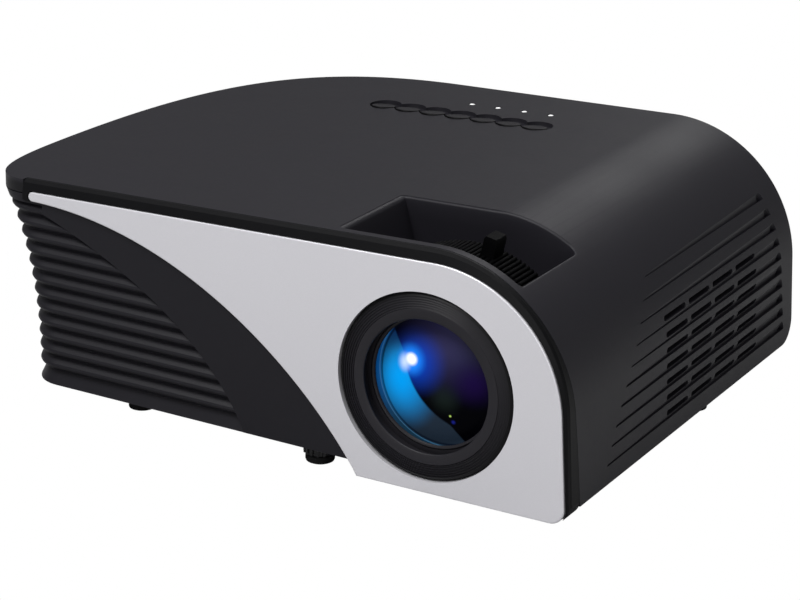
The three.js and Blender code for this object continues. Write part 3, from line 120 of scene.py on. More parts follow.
GRIP = {"half": math.radians(50), "centre": math.radians(12), "front": -66.5, "rear": -52.3,
        "lip_rear": -64.4, "web_front": -54.5, "rim": (32.6, 34.2), "lip": (32.2, 34.5), "web": (24.2, 33.6),
        "pitch_radius": 33.8, "tooth_share": 0.46}
TOOTH = ((1.0, 33.6), (1.0, 34.3), (0.7, 34.8), (0.25, 35.0))
TOOTH_STATIONS = ((-63.6, 0.35), (-63.2, 1.0), (-52.7, 1.0), (-52.3, 0.35))
TAB = ((2.3, 33.8), (2.3, 39.9), (1.7, 40.8))
TAB_STATIONS = ((-61.0, 0.9), (-60.6, 1.0), (-55.4, 1.0), (-55.0, 0.9))
HELIX = {"first": math.radians(-45), "turn": math.radians(63), "advance": 5.0, "inner": 21.1, "outer": 27.4}

# The keys, the lights, the feet, the screws and the contacts
BUTTONS = {"count": 7, "x": -33.5, "pitch": 9.35, "y": 45.9, "radius": 3.95, "base": -4.9, "tilt": 0.14,
           "clearance": 0.45}
KEY_TOP = 0.05
TROUGH = {"radius": 5.3, "depth": 1.4, "behind": 1.3}
INDICATORS = {"count": 4, "x": -8.5, "pitch": 9.7, "y": 61.2, "radius": 1.0, "clearance": 0.15, "base": -6.4}
FEET = ((-51.7, -67.6), (90.0, -66.0), (92.0, 25.0), (-47.5, 60.0))
TILT = (15.8, -73.0)
FOOT_PROFILE = ((0, 0.35), (1.2, 0.35), (1.5, 0.0), (3.85, 0.0), (4.1, 0.12), (4.2, 0.4), (4.2, 6.3),
                (0, 6.3))
PAD_PROFILE = ((0, 0.3), (1.4, 0.3), (1.7, 0.0), (3.6, 0.0), (4.2, 0.3), (4.4, 0.8), (4.4, 2.2), (4.2, 2.4),
               (0, 2.4))
KNOB_PROFILE = ((0, 2.6), (4.0, 2.6), (4.5, 2.9), (4.5, 5.3), (4.1, 5.6), (2.3, 5.6), (2.3, 24.0), (0, 24.0))
KNOB_TOOTH = ((0.55, 3.8), (0.35, 5.0), (-0.35, 5.0), (-0.55, 3.8))
KNOB_TEETH = {"count": 16, "low": 2.9, "high": 5.3}
SCREW_THREAD = {"first": 6.4, "pitch": 1.5, "count": 12}
THREAD_PROFILE = ((2.0, -0.5), (2.3, -0.5), (2.55, 0.0), (2.3, 0.5), (2.0, 0.5))
SCREW = {"radius": 2.8, "head": 1.9, "shank": 1.35, "length": 14.0, "cross": 0.28, "cross_depth": 1.3,
         "cross_half": 1.5}
CONTACTS = {
    "usb_socket": {"name": "usb_contacts", "count": 4, "pitch": 2.5, "half": 0.5, "rear": 9.5, "front": 3.0,
                   "low": 1.15, "high": 0.95},
    "hdmi_socket": {"name": "hdmi_contacts", "count": 10, "pitch": 1.0, "half": 0.25, "rear": 8.5,
                    "front": 2.6, "low": 0.82, "high": 0.68},
}
LINING = ((1.45, 9.0), (1.75, 9.0), (1.75, 0.1), (1.45, 0.1))

# The lamps in metres: place, aim, width, height and share of the key light's power
LAMPS = {
    "Key": ((-0.2, -0.62, 1.05), (0.0, 0.0, 0.03), 0.7, 0.5, 1.0),
    "Overhead": ((0.12, 0.28, 1.0), (0.0, 0.0, 0.05), 0.9, 0.6, 0.18),
    "Right": ((1.0, -0.1, 0.7), (0.05, 0.0, 0.06), 0.5, 0.4, 0.075),
    "Rear": ((-0.12, 0.93, 0.68), (0.05, 0.02, 0.07), 0.4, 0.3, 0.08),
    "Low front": ((0.1, -0.9, 0.12), (0.02, -0.08, 0.02), 0.8, 0.2, 0.14),
}
# The camera: place in metres, two angles in degrees, roll in radians, sensor and lens in millimetres
CAMERA = {"place": (0.37763, -0.66876, 0.30476), "around": 29.433, "above": 20.046, "roll": 0.0235,
          "sensor": 36.0, "lens": 116.1}
# The floor in millimetres
FLOOR_HALF, FLOOR_DROP = 3000.0, 0.02
WHITE = (1.0, 1.0, 1.0, 1.0)


# Meshes

def mesh_of(name, verts, faces, outward=True):
    """A mesh from points in millimetres, its faces turned outwards."""
    mesh = bpy.data.meshes.new(name)
    mesh.from_pydata([Vector(v) * MM for v in verts], [], faces)
    return tidy(mesh) if outward else mesh


def tidy(mesh):
    """The mesh with its doubles merged and its normals outwards."""
    merge = 1e-7
    work = bmesh.new()
    work.from_mesh(mesh)
    bmesh.ops.remove_doubles(work, verts=work.verts, dist=merge)
    bmesh.ops.dissolve_degenerate(work, edges=work.edges, dist=merge)
    bmesh.ops.recalc_face_normals(work, faces=work.faces)
    work.to_mesh(mesh)
    work.free()
    mesh.update()
    return mesh


def loft(rings, closed=False):
    """Rings of points with the same count, joined in order and capped unless they close on themselves."""
    count = len(rings[0])
    verts = [p for ring in rings for p in ring]
    faces = []
    for r in range(len(rings) if closed else len(rings) - 1):
        s = (r + 1) % len(rings)
        for i in range(count):
            j = (i + 1) % count
            faces.append((r * count + i, r * count + j, s * count + j, s * count + i))
    if not closed:
        faces.append(tuple(range(count)))
        faces.append(tuple((len(rings) - 1) * count + i for i in range(count)))
    return mesh_of("loft", verts, faces)


def prism_y(outline, y0, y1):
    return loft([[(x, y, z) for x, z in outline] for y in (y0, y1)])


def prism_x(outline, x0, x1):
    return loft([[(x, y, z) for y, z in outline] for x in (x0, x1)])


def prism_z(outline, z0, z1):
    return loft([[(x, y, z) for x, y in outline] for z in (z0, z1)])


def block(x0, x1, y0, y1, z0, z1):
    return prism_z(((x0, y0), (x1, y0), (x1, y1), (x0, y1)), z0, z1)


def circle(cx, cy, radius, steps=48):
    turns = [2 * math.pi * i / steps for i in range(steps)]
    return [(cx + radius * math.cos(t), cy + radius * math.sin(t)) for t in turns]


def quarter(steps):
    """The angles of a quarter turn, in equal steps."""
    return [math.pi / 2 * k / steps for k in range(steps + 1)]


def rod_y(x, z, y0, y1, radius, steps=96):
    return prism_y(circle(x, z, radius, steps), y0, y1)


def post_z(x, y, z0, z1, radius, steps=48):
    return prism_z(circle(x, y, radius, steps), z0, z1)


def turned(profile, steps=96, closed=False):
    """A profile of (radius, height) points turned about Z."""
    turns = [2 * math.pi * i / steps for i in range(steps)]
    return loft([[(r * math.cos(t), r * math.sin(t), z) for t in turns] for r, z in profile], closed)


def placed(mesh, matrix):
    """A mesh moved by a matrix whose lengths are millimetres."""
    scaled = matrix.copy()
    scaled.translation = scaled.translation * MM
    mesh.transform(scaled)
    mesh.update()
    return mesh


def standing(x, y, profile, steps=48, closed=False):
    """A turned profile that stands on the ground at a place."""
    return placed(turned(profile, steps, closed), Matrix.Translation((x, y, 0)))


def on_lens(profile, steps=128, closed=False):
    """A profile of (radius, y) points turned about the lens axis."""
    turn = Matrix.Translation((LENS_X, 0, LENS_Z)) @ Matrix.Rotation(math.radians(-90), 4, "X")
    return tidy(placed(turned(profile, steps, closed), turn))


def ring_on_lens(bore, radius, y0, y1):
    return on_lens(((bore, y0), (radius, y0), (radius, y1), (bore, y1)), closed=True)


def top_matrix(x, y):
    return Matrix.Translation((x, y, top_z(x))) @ Matrix.Rotation(-TOP_SLOPE, 4, "Y")


def on_top(x, y, profile, steps=48):
    return placed(turned(profile, steps), top_matrix(x, y))


def hole_in_top(x, y, radius, steps):
    return on_top(x, y, ((0, -OVER), (radius, -OVER), (radius, OVER), (0, OVER)), steps)


def together(meshes):
    """Several closed meshes as one, left apart from each other."""
    work = bmesh.new()
    for mesh in meshes:
        work.from_mesh(mesh)
        bpy.data.meshes.remove(mesh)
    joined = bpy.data.meshes.new("together")
    work.to_mesh(joined)
    work.free()
    return joined


def scratch(mesh, name="scratch"):
    obj = bpy.data.objects.new(name, mesh)
    bpy.context.scene.collection.objects.link(obj)
    return obj


def baked(obj):
    """The object's modifiers worked out as a plain mesh; the object is removed."""
    deps = bpy.context.evaluated_depsgraph_get()
    deps.update()
    mesh = bpy.data.meshes.new_from_object(obj.evaluated_get(deps))
    bpy.data.objects.remove(obj)
    return mesh


def combined(operation, base, others):
    for other in others:
        first, second = scratch(base), scratch(other)
        cut = first.modifiers.new("cut", "BOOLEAN")
        cut.operation = operation
        cut.solver = "MANIFOLD"
        cut.object = second
        base = baked(first)
        bpy.data.objects.remove(second)
    return base


def cut_from(base, *cutters):
    return combined("DIFFERENCE", base, cutters)


def united(base, *others):
    return combined("UNION", base, others)


def common(base, *others):
    return combined("INTERSECT", base, others)


def dress(mesh, material):
    mesh.materials.clear()
    mesh.materials.append(material)


def piece(name, mesh, finish, body, replaces=(), smooth=28.0, rounding=0.0):
    """One finished piece: its finish, its shading, its body and the nodes that it stands for."""
    tidy(mesh)
    mesh.name = name
    dress(mesh, finishes[finish])
    for polygon in mesh.polygons:
        polygon.material_index = 0
        polygon.use_smooth = True
    mesh.set_sharp_from_angle(angle=math.radians(smooth))
    obj = scratch(mesh, name)
    if rounding:
        bevel = obj.modifiers.new("rounding", "BEVEL")
        bevel.width = rounding * MM
        bevel.segments = 2
        bevel.limit_method = "ANGLE"
        bevel.angle_limit = math.radians(35)
        bevel.use_clamp_overlap = True
        bevel.harden_normals = True
    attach(obj, body)
    if replaces:
        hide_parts(*replaces)
    return obj


def skin(node, mesh, finish, body, smooth=28.0, rounding=0.0):
    """The finished piece that stands for one node."""
    return piece(f"{node}_skin", mesh, finish, body, [node], smooth, rounding)


# Outlines of the housing

def curve(points, steps):
    (x0, y0), (x1, y1), (x2, y2), (x3, y3) = points
    line = []
    for i in range(steps + 1):
        t = i / steps
        a, b, c, d = (1 - t) ** 3, 3 * t * (1 - t) ** 2, 3 * t * t * (1 - t), t ** 3
        line.append((a * x0 + b * x1 + c * x2 + d * x3, a * y0 + b * y1 + c * y2 + d * y3))
    return line


def top_z(x, drop=0.0):
    return TOP - drop / math.cos(TOP_SLOPE) + (x - HALF) * math.tan(TOP_SLOPE)


def wall_x(z, inset=0.0):
    return HALF - inset / math.cos(WALL_LEAN) - (z - FACE_GAP) * math.tan(WALL_LEAN)


def shoulder_centre(side, top, radius):
    across = HALF * math.cos(WALL_LEAN) + FACE_GAP * math.sin(WALL_LEAN) - side - radius
    upward = TOP * math.cos(TOP_SLOPE) - HALF * math.sin(TOP_SLOPE) - top - radius
    spread = math.cos(WALL_LEAN + TOP_SLOPE)
    return ((across * math.cos(TOP_SLOPE) - upward * math.sin(WALL_LEAN)) / spread,
            (across * math.sin(TOP_SLOPE) + upward * math.cos(WALL_LEAN)) / spread)


def front_profile(side, top, radius, bottom, left, steps=72):
    """The housing seen from the front: right wall, shoulder and sloping top."""
    cx, cz = shoulder_centre(side, top, radius)
    points = [(left, bottom), (wall_x(bottom, side), bottom)]
    for i in range(steps + 1):
        angle = WALL_LEAN + (i / steps) * (math.pi / 2 + TOP_SLOPE - WALL_LEAN)
        points.append((cx + radius * math.cos(angle), cz + radius * math.sin(angle)))
    points.append((left, top_z(left, top)))
    return points


def housing_profile(inset, bottom):
    return front_profile(inset, inset, SHOULDER - inset, bottom, -HALF - OVER)


def foot_corner(x, z):
    """The round corner between a foot and a right edge."""
    radius = PANEL["corner"]
    return [(x - radius * (1 - math.sin(t)), z + radius * (1 - math.cos(t))) for t in quarter(8)]


def plan_outline():
    """The housing seen from above, running past the right wall."""
    right = HALF + OVER
    return [(right, REAR), *curve(REAR_CURVE, 48), *curve(FRONT_CURVE, 28), (right, FRONT + FACE_STEP)]


def drawn_in(points, inset):
    """Every edge of a closed outline moved inwards, and the corners found again."""
    edges = []
    for (x, y), (nx, ny) in zip(points, points[1:] + points[:1]):
        length = math.hypot(nx - x, ny - y)
        dx, dy = (nx - x) / length, (ny - y) / length
        edges.append(((x - dy * inset, y + dx * inset), (dx, dy)))
    moved = []
    for i, ((ex, ey), (edx, edy)) in enumerate(edges):
        (lx, ly), (ldx, ldy) = edges[i - 1]
        turn = ldx * edy - ldy * edx
        if abs(turn) < 1e-6:
            moved.append((ex, ey))
            continue
        reach = ((ex - lx) * edy - (ey - ly) * edx) / turn
        moved.append((lx + ldx * reach, ly + ldy * reach))
    return moved


def lean_at(z):
    top = top_z(-HALF, SKIRT)
    share = min(max((top - z) / (top - BASE), 0.0), 1.0)
    return LEFT_LEAN * (1 - (1 - share) ** LEAN_POWER)


def housing_ring(z, inset):
    lean = lean_at(z)
    ring = []
    for x, y in drawn_in(plan_outline(), inset):
        share = min(max((LEAN_START - x) / (HALF + LEAN_START), 0.0), 1.0)
        ring.append((x + lean * share * (2 - share), y, z))
    return ring


def side_profile(inset):
    """The housing seen from the side, with its round lower rear edge."""
    radius = BASE_ROUND - inset
    rear, bottom = REAR - inset, BASE + inset
    arc = [(rear - radius + radius * math.sin(t), bottom + radius - radius * math.cos(t))
           for t in quarter(16)]
    outline = [(FRONT - OVER, bottom), *arc, (rear, TOP + OVER), (FRONT - OVER, TOP + OVER)]
    return prism_x(outline, -HALF - OVER, HALF + OVER)


def whole_body(levels, inset):
    """The housing from rings at heights with insets, cut to its front and side outlines."""
    body = loft([housing_ring(z, ring_inset) for z, ring_inset in levels])
    front = prism_y(housing_profile(inset, BASE + inset), FRONT - OVER, REAR + OVER)
    return common(body, front, side_profile(inset))


def housing_body(inset, steps=16):
    bottom = BASE + inset
    rise = top_z(-HALF, SKIRT) - bottom
    heights = [bottom + s / steps * rise for s in range(steps + 1)] + [TOP + OVER]
    return whole_body([(z, inset) for z in heights], inset)


def ribbed_body():
    """The same body with the wrapped ribs pressed into it."""
    levels = [(BASE, RIBS["proud"])]
    for i in range(RIBS["count"]):
        for share in RIB_SHARES:
            inset = RIBS["proud"] + RIBS["depth"] * (1 - math.sin(math.pi * share) ** RIBS["power"])
            levels.append((RIBS["lowest"] + (i + share) * RIBS["pitch"], inset))
    levels += [(RIB_TOP, RIBS["proud"]), (TOP + OVER, RIBS["proud"])]
    return whole_body(levels, 0)


def below_cover(grow):
    """The space under the top cover's skirt and inside its right wall."""
    inside = prism_y(housing_profile(WALL + grow, BASE - OVER), FRONT - OVER, REAR + OVER)
    left, right, drop = -HALF - OVER, HALF + OVER, SKIRT + grow
    line = ((left, -OVER), (right, -OVER), (right, top_z(right, drop)), (left, top_z(left, drop)))
    return common(inside, prism_y(line, FRONT - OVER, REAR + OVER))


def sweep_line(grow, steps=64):
    points = curve(SWEEP, steps)
    line = []
    for i, (x, z) in enumerate(points):
        (ax, az), (bx, bz) = points[max(i - 1, 0)], points[min(i + 1, steps)]
        length = math.hypot(bx - ax, bz - az)
        line.append((x + (bz - az) / length * grow, z - (bx - ax) / length * grow))
    return line


def bezel_region(grow, bottom):
    """All of the front that the bezel and the bright panel take up."""
    left, right, top = BEZEL["left"] - grow, HALF + OVER, TOP + OVER
    line = sweep_line(grow)
    kept = [p for p in line if p[1] > bottom]
    last = kept[-1]
    end = last[0]
    if len(kept) < len(line):
        after = line[len(kept)]
        end = last[0] + (after[0] - last[0]) * (last[1] - bottom) / (last[1] - after[1])
    return [(left, top), (left, kept[0][1]), *kept, (end, bottom), (right, bottom), (right, top)]


def panel_outline(grow):
    """Outline of the bright panel, with a small round corner at its foot and a round tip at its left end."""
    side, top, radius = PANEL_EDGE
    left = SWEEP[0][0]
    profile = front_profile(side - grow, top - grow, radius + grow, FACE_GAP - PANEL["below"] - grow, left)
    corner, rest = foot_corner(*profile[1]), profile[2:]
    tip_top = rest[-1][1] + PANEL["tip_rise"]
    rest[-1] = (rest[-1][0], tip_top)
    line = sweep_line(grow)
    line[-1] = (line[-1][0] + PANEL["sweep_out"], FACE_GAP - PANEL["sweep_below"] - grow)
    reach, middle = (tip_top - line[0][1]) / 2, (tip_top + line[0][1]) / 2
    turns = [math.pi * s / 10 for s in range(1, 10)]
    tip = [(left - reach * math.sin(t), middle + reach * math.cos(t)) for t in turns]
    return [*line, *corner, *rest, *tip]


# Node trees

class Wire:
    """A socket's value. Operators on it add Math nodes to its tree."""

    def __init__(self, graph, socket):
        self.graph, self.socket = graph, socket

    def math(self, operation, *values):
        return self.graph.add("ShaderNodeMath", {"operation": operation}, dict(enumerate(values)))

    def __add__(self, other):
        return self.math("ADD", self, other)

    def __radd__(self, other):
        return self.math("ADD", other, self)

    def __sub__(self, other):
        return self.math("SUBTRACT", self, other)

    def __rsub__(self, other):
        return self.math("SUBTRACT", other, self)

    def __mul__(self, other):
        return self.math("MULTIPLY", self, other)

    def __rmul__(self, other):
        return self.math("MULTIPLY", other, self)

    def __truediv__(self, other):
        return self.math("DIVIDE", self, other)

    def __rtruediv__(self, other):
        return self.math("DIVIDE", other, self)

    def root(self):
        return self.math("SQRT", self)

    def absolute(self):
        return self.math("ABSOLUTE", self)

    def out(self, name):
        return Wire(self.graph, self.socket.node.outputs[name])


class Graph:
    """A node tree while it is wired."""

    def __init__(self, tree):
        self.tree = tree
        self.tree.nodes.clear()

    def add(self, kind, settings=None, values=None):
        """A node of a type, its settings first and then the values or links of its sockets."""
        node = self.tree.nodes.new(kind)
        for name, value in (settings or {}).items():
            setattr(node, name, value)
        for name, value in (values or {}).items():
            if isinstance(value, Wire):
                self.tree.links.new(value.socket, node.inputs[name])
            else:
                node.inputs[name].default_value = value
        return Wire(self, node.outputs[0]) if node.outputs else None


class Paint(Graph):
    """One material while it is wired."""

    def __init__(self, name):
        self.material = bpy.data.materials.new(name)
        self.material.use_nodes = True
        super().__init__(self.material.node_tree)

    def coords(self):
        return self.add("ShaderNodeTexCoord").out("Object")

    def place(self, at, axes):
        """A place's coordinates along some axes, in millimetres."""
        split = self.add("ShaderNodeSeparateXYZ", None, {"Vector": at})
        return [split.out(axis) / MM for axis in axes]

    def noise(self, coords, size, detail=2.0, rough=0.5):
        """Noise whose cells are about size millimetres across, around 0.5."""
        return self.add("ShaderNodeTexNoise", {"noise_dimensions": "3D"},
                        {"Vector": coords, "Scale": 1 / (size * MM), "Detail": detail, "Roughness": rough})

    def dust(self, coords):
        return self.noise(coords, 2.2, 4.0, 0.7)

    def rise(self, value, low, high):
        """A soft step from 0 below the low value to 1 above the high one."""
        return self.add("ShaderNodeMapRange", {"interpolation_type": "SMOOTHSTEP"},
                        {"Value": value, "From Min": low, "From Max": high})

    def mix(self, factor, first, second):
        first, second = [v if isinstance(v, Wire) else (*v, 1.0) for v in (first, second)]
        return self.add("ShaderNodeMix", {"data_type": "RGBA"}, {0: factor, 6: first, 7: second}).out(2)

    def bump(self, height, depth):
        return self.add("ShaderNodeBump", None, {"Height": height, "Distance": depth * MM})

    def finish(self, base, rough, metal=0.0, normal=None, coat=0.0, coat_rough=0.03, specular=0.5, alpha=1.0):
        values = {"Base Color": base if isinstance(base, Wire) else (*base, 1.0), "Roughness": rough,
                  "Metallic": metal, "Coat Weight": coat, "Coat Roughness": coat_rough, "Alpha": alpha,
                  "Specular IOR Level": specular}
        if normal is not None:
            values["Normal"] = normal
        shader = self.add("ShaderNodeBsdfPrincipled", None, values)
        self.add("ShaderNodeOutputMaterial", None, {"Surface": shader})
        return self.material


def array_tree(name, turning):
    """A tree that repeats its object in a straight row, or in a turned one about an axis along Y."""
    tree = bpy.data.node_groups.new(name, "GeometryNodeTree")
    step = "Float" if turning else "Vector"
    inputs = {"Geometry": "Geometry", "Count": "Int", "Step": step, "Start": step, "Centre": "Vector",
              "Material": "Material"}
    for label, kind in inputs.items():
        tree.interface.new_socket(label, in_out="INPUT", socket_type=f"NodeSocket{kind}")
    tree.interface.new_socket("Geometry", in_out="OUTPUT", socket_type="NodeSocketGeometry")
    graph = Graph(tree)
    given, index = graph.add("NodeGroupInput"), graph.add("GeometryNodeInputIndex")
    turn, place = {}, {}
    if turning:
        turn["Rotation"] = graph.add("ShaderNodeCombineXYZ", None,
                                     {"Y": index * given.out("Step") + given.out("Start")})
    else:
        along = graph.add("ShaderNodeVectorMath", {"operation": "SCALE"},
                          {0: given.out("Step"), "Scale": index})
        place["Position"] = graph.add("ShaderNodeVectorMath", {"operation": "ADD"},
                                      {0: along, 1: given.out("Start")})
    points = graph.add("GeometryNodePoints", None, {"Count": given.out("Count"), **place})
    copies = graph.add("GeometryNodeInstanceOnPoints", None,
                       {"Points": points, "Instance": given.out("Geometry"), **turn})
    moved = graph.add("GeometryNodeTransform", None, {"Geometry": copies, "Translation": given.out("Centre")})
    real = graph.add("GeometryNodeRealizeInstances", None, {"Geometry": moved})
    painted = graph.add("GeometryNodeSetMaterial", None,
                        {"Geometry": real, "Material": given.out("Material")})
    graph.add("NodeGroupOutput", None, {0: painted})
    return tree


def repeated(mesh, turning, count, step, start=None, centre=(0.0, 0.0, 0.0), material=None):
    """A mesh repeated by its tree. Straight steps and centres are in millimetres, turns in radians."""
    name = "Turned row" if turning else "Straight row"
    tree = bpy.data.node_groups.get(name) or array_tree(name, turning)
    obj = scratch(mesh)
    modifier = obj.modifiers.new("row", "NODES")
    modifier.node_group = tree
    if not turning:
        step = [c * MM for c in step]
        start = [c * MM for c in (start or (0.0, 0.0, 0.0))]
    values = {"Count": count, "Step": step, "Start": start or 0.0, "Centre": [c * MM for c in centre],
              "Material": material}
    for item in tree.interface.items_tree:
        if item.in_out == "INPUT" and values.get(item.name) is not None:
            modifier[item.identifier] = values[item.name]
    return baked(obj)


# Materials

def srgb(r, g, b):
    shares = (c / 255 for c in (r, g, b))
    return tuple(c / 12.92 if c <= 0.04045 else ((c + 0.055) / 1.055) ** 2.4 for c in shares)


def shaded(colour, share):
    return tuple(c * share for c in colour)


def depth_below_top(x, z):
    """How far a place lies below the sloping top, in millimetres."""
    return top_z(0) - (z - x * math.tan(TOP_SLOPE))


def moulded(name, colour, rough, grain=0.55, depth=0.02, coat=0.0, specular=0.25, skirt=None):
    """Moulded plastic: a fine grain, faint cloudiness, uneven gloss and, if asked, painted shade on the
    skirt.
    """
    paint = Paint(name)
    at = paint.coords()
    fine, cloud, dust = paint.noise(at, grain, 3.0, 0.6), paint.noise(at, 38.0, 2.0), paint.dust(at)
    base = paint.mix(cloud * 0.7 + dust * 0.3, shaded(colour, 0.88), shaded(colour, 1.12))
    # Painted shade: the skirt below the sloping top, left of the middle, darkens to the share given as skirt.
    if skirt:
        x, z = paint.place(at, "XZ")
        low, left = paint.rise(depth_below_top(x, z), 0.3, 1.6), paint.rise(0.0 - x, 0.0, 60.0)
        base = paint.mix(low * left, base, shaded(colour, skirt))
    roughness = rough + (cloud - 0.5) * 0.12 + (dust - 0.5) * 0.06
    bump = paint.bump(fine + dust * 0.3, depth)
    return paint.finish(base, roughness, normal=bump, coat=coat, specular=specular)


def plastic_with_painted_shade(name, colour, rough, grain, depth, specular, shades):
    """Plastic with painted shade: shades gives its masks and the share of the colour that stays there."""
    paint = Paint(name)
    at = paint.coords()
    dust = paint.dust(at)
    base = paint.mix(dust, shaded(colour, 0.88), shaded(colour, 1.12))
    # Painted shade: each mask darkens the colour to its share.
    for mask, share in shades(paint, at):
        base = paint.mix(mask, base, shaded(colour, share))
    bump = paint.bump(paint.noise(at, grain, 3.0, 0.6), depth)
    return paint.finish(base, rough + (dust - 0.5) * 0.08, normal=bump, specular=specular)


def key_shades(paint, at):
    """The keys are darker below their tops, where the gap keeps the light out."""
    x, y, z = paint.place(at, "XYZ")
    face = KEY_TOP - (y - BUTTONS["y"]) * BUTTONS["tilt"]
    return [(paint.rise(face + depth_below_top(x, z), 0.04, 0.12), 0.08)]


def hood_painted_shade(paint, at):
    """Painted shade: the lens hood is darker outwards and nearly black at its outer edge."""
    x, z = paint.place(at, "XZ")
    across, upward = x - LENS_X, z - LENS_Z
    radius = (across * across + upward * upward).root()
    # Painted shade: darker outwards across the ridged face, nearly black at the outer edge.
    outward = paint.rise(radius, HOOD["bore"], HOOD["face"])
    edge = paint.rise(radius, HOOD["face"] - 0.1, HOOD["radius"])
    return [(outward * 0.35, 0.2), (edge, 0.15)]


def lacquered(name, colour, rough, metal):
    """Silver paint: fine flakes under a satin lacquer."""
    paint = Paint(name)
    at = paint.coords()
    flake, cloud, peel = paint.noise(at, 0.16, 1.0), paint.noise(at, 55.0, 1.0), paint.noise(at, 1.6, 2.0)
    lighter = tuple(min(c, 1.0) for c in shaded(colour, 1.07))
    lit = paint.mix(flake, shaded(colour, 0.93), lighter)
    base = paint.mix(cloud * 0.25, lit, shaded(colour, 0.93))
    return paint.finish(base, rough + (flake - 0.5) * 0.14, metal + (flake - 0.5) * 0.2,
                        paint.bump(peel, 0.004), coat=0.25, coat_rough=0.18)


def metal(name, colour, rough, size=0.5, depth=0.004):
    """Metal with fine drawn lines and faint stains."""
    paint = Paint(name)
    at = paint.coords()
    stretch = paint.add("ShaderNodeMapping", None, {"Vector": at, "Scale": (1.0, 0.12, 1.0)})
    lines, stain = paint.noise(stretch, size, 3.0), paint.noise(at, 9.0, 3.0)
    base = paint.mix(stain, shaded(colour, 0.85), colour)
    return paint.finish(base, rough + (lines - 0.5) * 0.2, 1.0, paint.bump(lines, depth))


def board_lacquer(name):
    """Green solder mask with darker copper tracks showing through."""
    paint = Paint(name)
    at = paint.coords()
    turned_at = paint.add("ShaderNodeMapping", None, {"Vector": at, "Rotation": (0.0, 0.0, math.radians(45))})
    tracks = paint.add("ShaderNodeTexBrick", {"offset": 0.5},
                       {"Vector": at, "Scale": 260.0, "Mortar Size": 0.08, "Color1": (0, 0, 0, 1),
                        "Color2": (0.25, 0.25, 0.25, 1), "Mortar": WHITE})
    dots = paint.add("ShaderNodeTexVoronoi", None, {"Vector": turned_at, "Scale": 420.0})
    pad = dots.math("LESS_THAN", dots, 0.18)
    lit = paint.mix(tracks, srgb(18, 74, 44), srgb(34, 104, 60))
    base = paint.mix(pad, lit, srgb(196, 170, 96))
    return paint.finish(base, 0.42 - pad * 0.1, pad, paint.bump(pad, 0.03), coat=0.2)


# Painted reflections on the front glass, spots in units of 18.2 mm from its middle: place, inner and outer
# radius, upright stretch, strength and colour
GLASS_UNIT = 18.2
GLASS_DEEP_REFLECTIONS = (
    (0.25, 0.75, 0.0, 1.1, 1.0, 1.0, (42, 40, 74)),
    (0.75, 0.16, 0.0, 0.5, 1.0, 0.8, (24, 6, 60)),
    (0.28, -0.17, 0.0, 0.35, 1.0, 0.5, (28, 40, 34)),
    (-0.25, 0.33, 0.0, 0.62, 1.0, 0.85, (0, 62, 186)),
)
GLASS_PAINTED_GLINTS = (
    (-0.34, 0.34, 0.04, 0.32, 1.0, 1.0, (30, 140, 255)),
    (-0.33, 0.355, 0.05, 0.14, 1.1, 1.0, (255, 255, 255)),
    (-0.45, 0.28, 0.0, 0.16, 0.8, 0.7, (225, 236, 255)),
    (0.368, -0.45, 0.005, 0.028, 1.0, 1.0, (190, 225, 110)),
    (0.414, -0.55, 0.005, 0.05, 1.0, 0.7, (30, 40, 150)),
)
CRESCENT_PAINTED_GLOW = ((-0.52, -0.02, 0.0, 0.8, 0.85, 1.0, (0, 154, 238)),)


def lens_painted_reflections(name):
    """Coated glass painted with reflections: a blue crescent crossed by the arc of an inner edge, a bright
    spot and black depth.
    """
    paint = Paint(name)
    across, upward = paint.place(paint.coords(), "XZ")
    x, z = (across - LENS_X) / GLASS_UNIT, (upward - LENS_Z) / GLASS_UNIT

    def distance(cx, cz, stretch=1.0):
        dx, dz = x - cx, (z - cz) * stretch
        return (dx * dx + dz * dz).root()

    def painted_spots_on(base, table):
        for cx, cz, inner, outer, stretch, strength, colour in table:
            mask = 1.0 - paint.rise(distance(cx, cz, stretch), inner, outer)
            base = paint.mix(mask * strength, base, srgb(*colour))
        return base

    def line_at(edge, radius, width):
        return 1.0 - paint.rise((edge - radius).absolute(), 0.0, width)

    beyond, inner_edge = distance(0.96, 0.728), distance(0.189, 0.106)
    slant = x * 0.78 + z * 0.625
    # Painted reflections: tints and a blue halo on black depth, a lit crescent and arcs of an inner edge.
    base = painted_spots_on(srgb(1, 1, 4), GLASS_DEEP_REFLECTIONS)
    lit = painted_spots_on(srgb(34, 46, 60), CRESCENT_PAINTED_GLOW)
    lit = paint.mix(paint.rise(z, 0.3, 0.8) * 0.85, lit, srgb(20, 62, 126))
    crescent = paint.rise(beyond, 1.445, 1.49) * (1.0 - paint.rise(slant, -0.12, -0.085))
    base = paint.mix(crescent, base, lit)
    rim = paint.mix(paint.rise(z, -0.95, 0.3), srgb(26, 58, 80), srgb(16, 96, 172))
    base = paint.mix(paint.rise(inner_edge, 1.115, 1.14), base, rim)
    base = paint.mix(line_at(inner_edge, 1.15, 0.018) * 0.5, base, srgb(90, 150, 196))
    base = paint.mix(line_at(inner_edge, 1.1, 0.035) * 0.75, base, srgb(4, 14, 34))
    # Painted highlights: the glints and the bright spot.
    return paint.finish(painted_spots_on(base, GLASS_PAINTED_GLINTS), 0.3, specular=0.03)


def clear_glass(name, tint, alpha, rough=0.02):
    paint = Paint(name)
    smear = paint.noise(paint.coords(), 6.0, 3.0)
    return paint.finish(tint, rough + smear * 0.03, coat=1.0, coat_rough=0.01, alpha=alpha)


finishes = {}


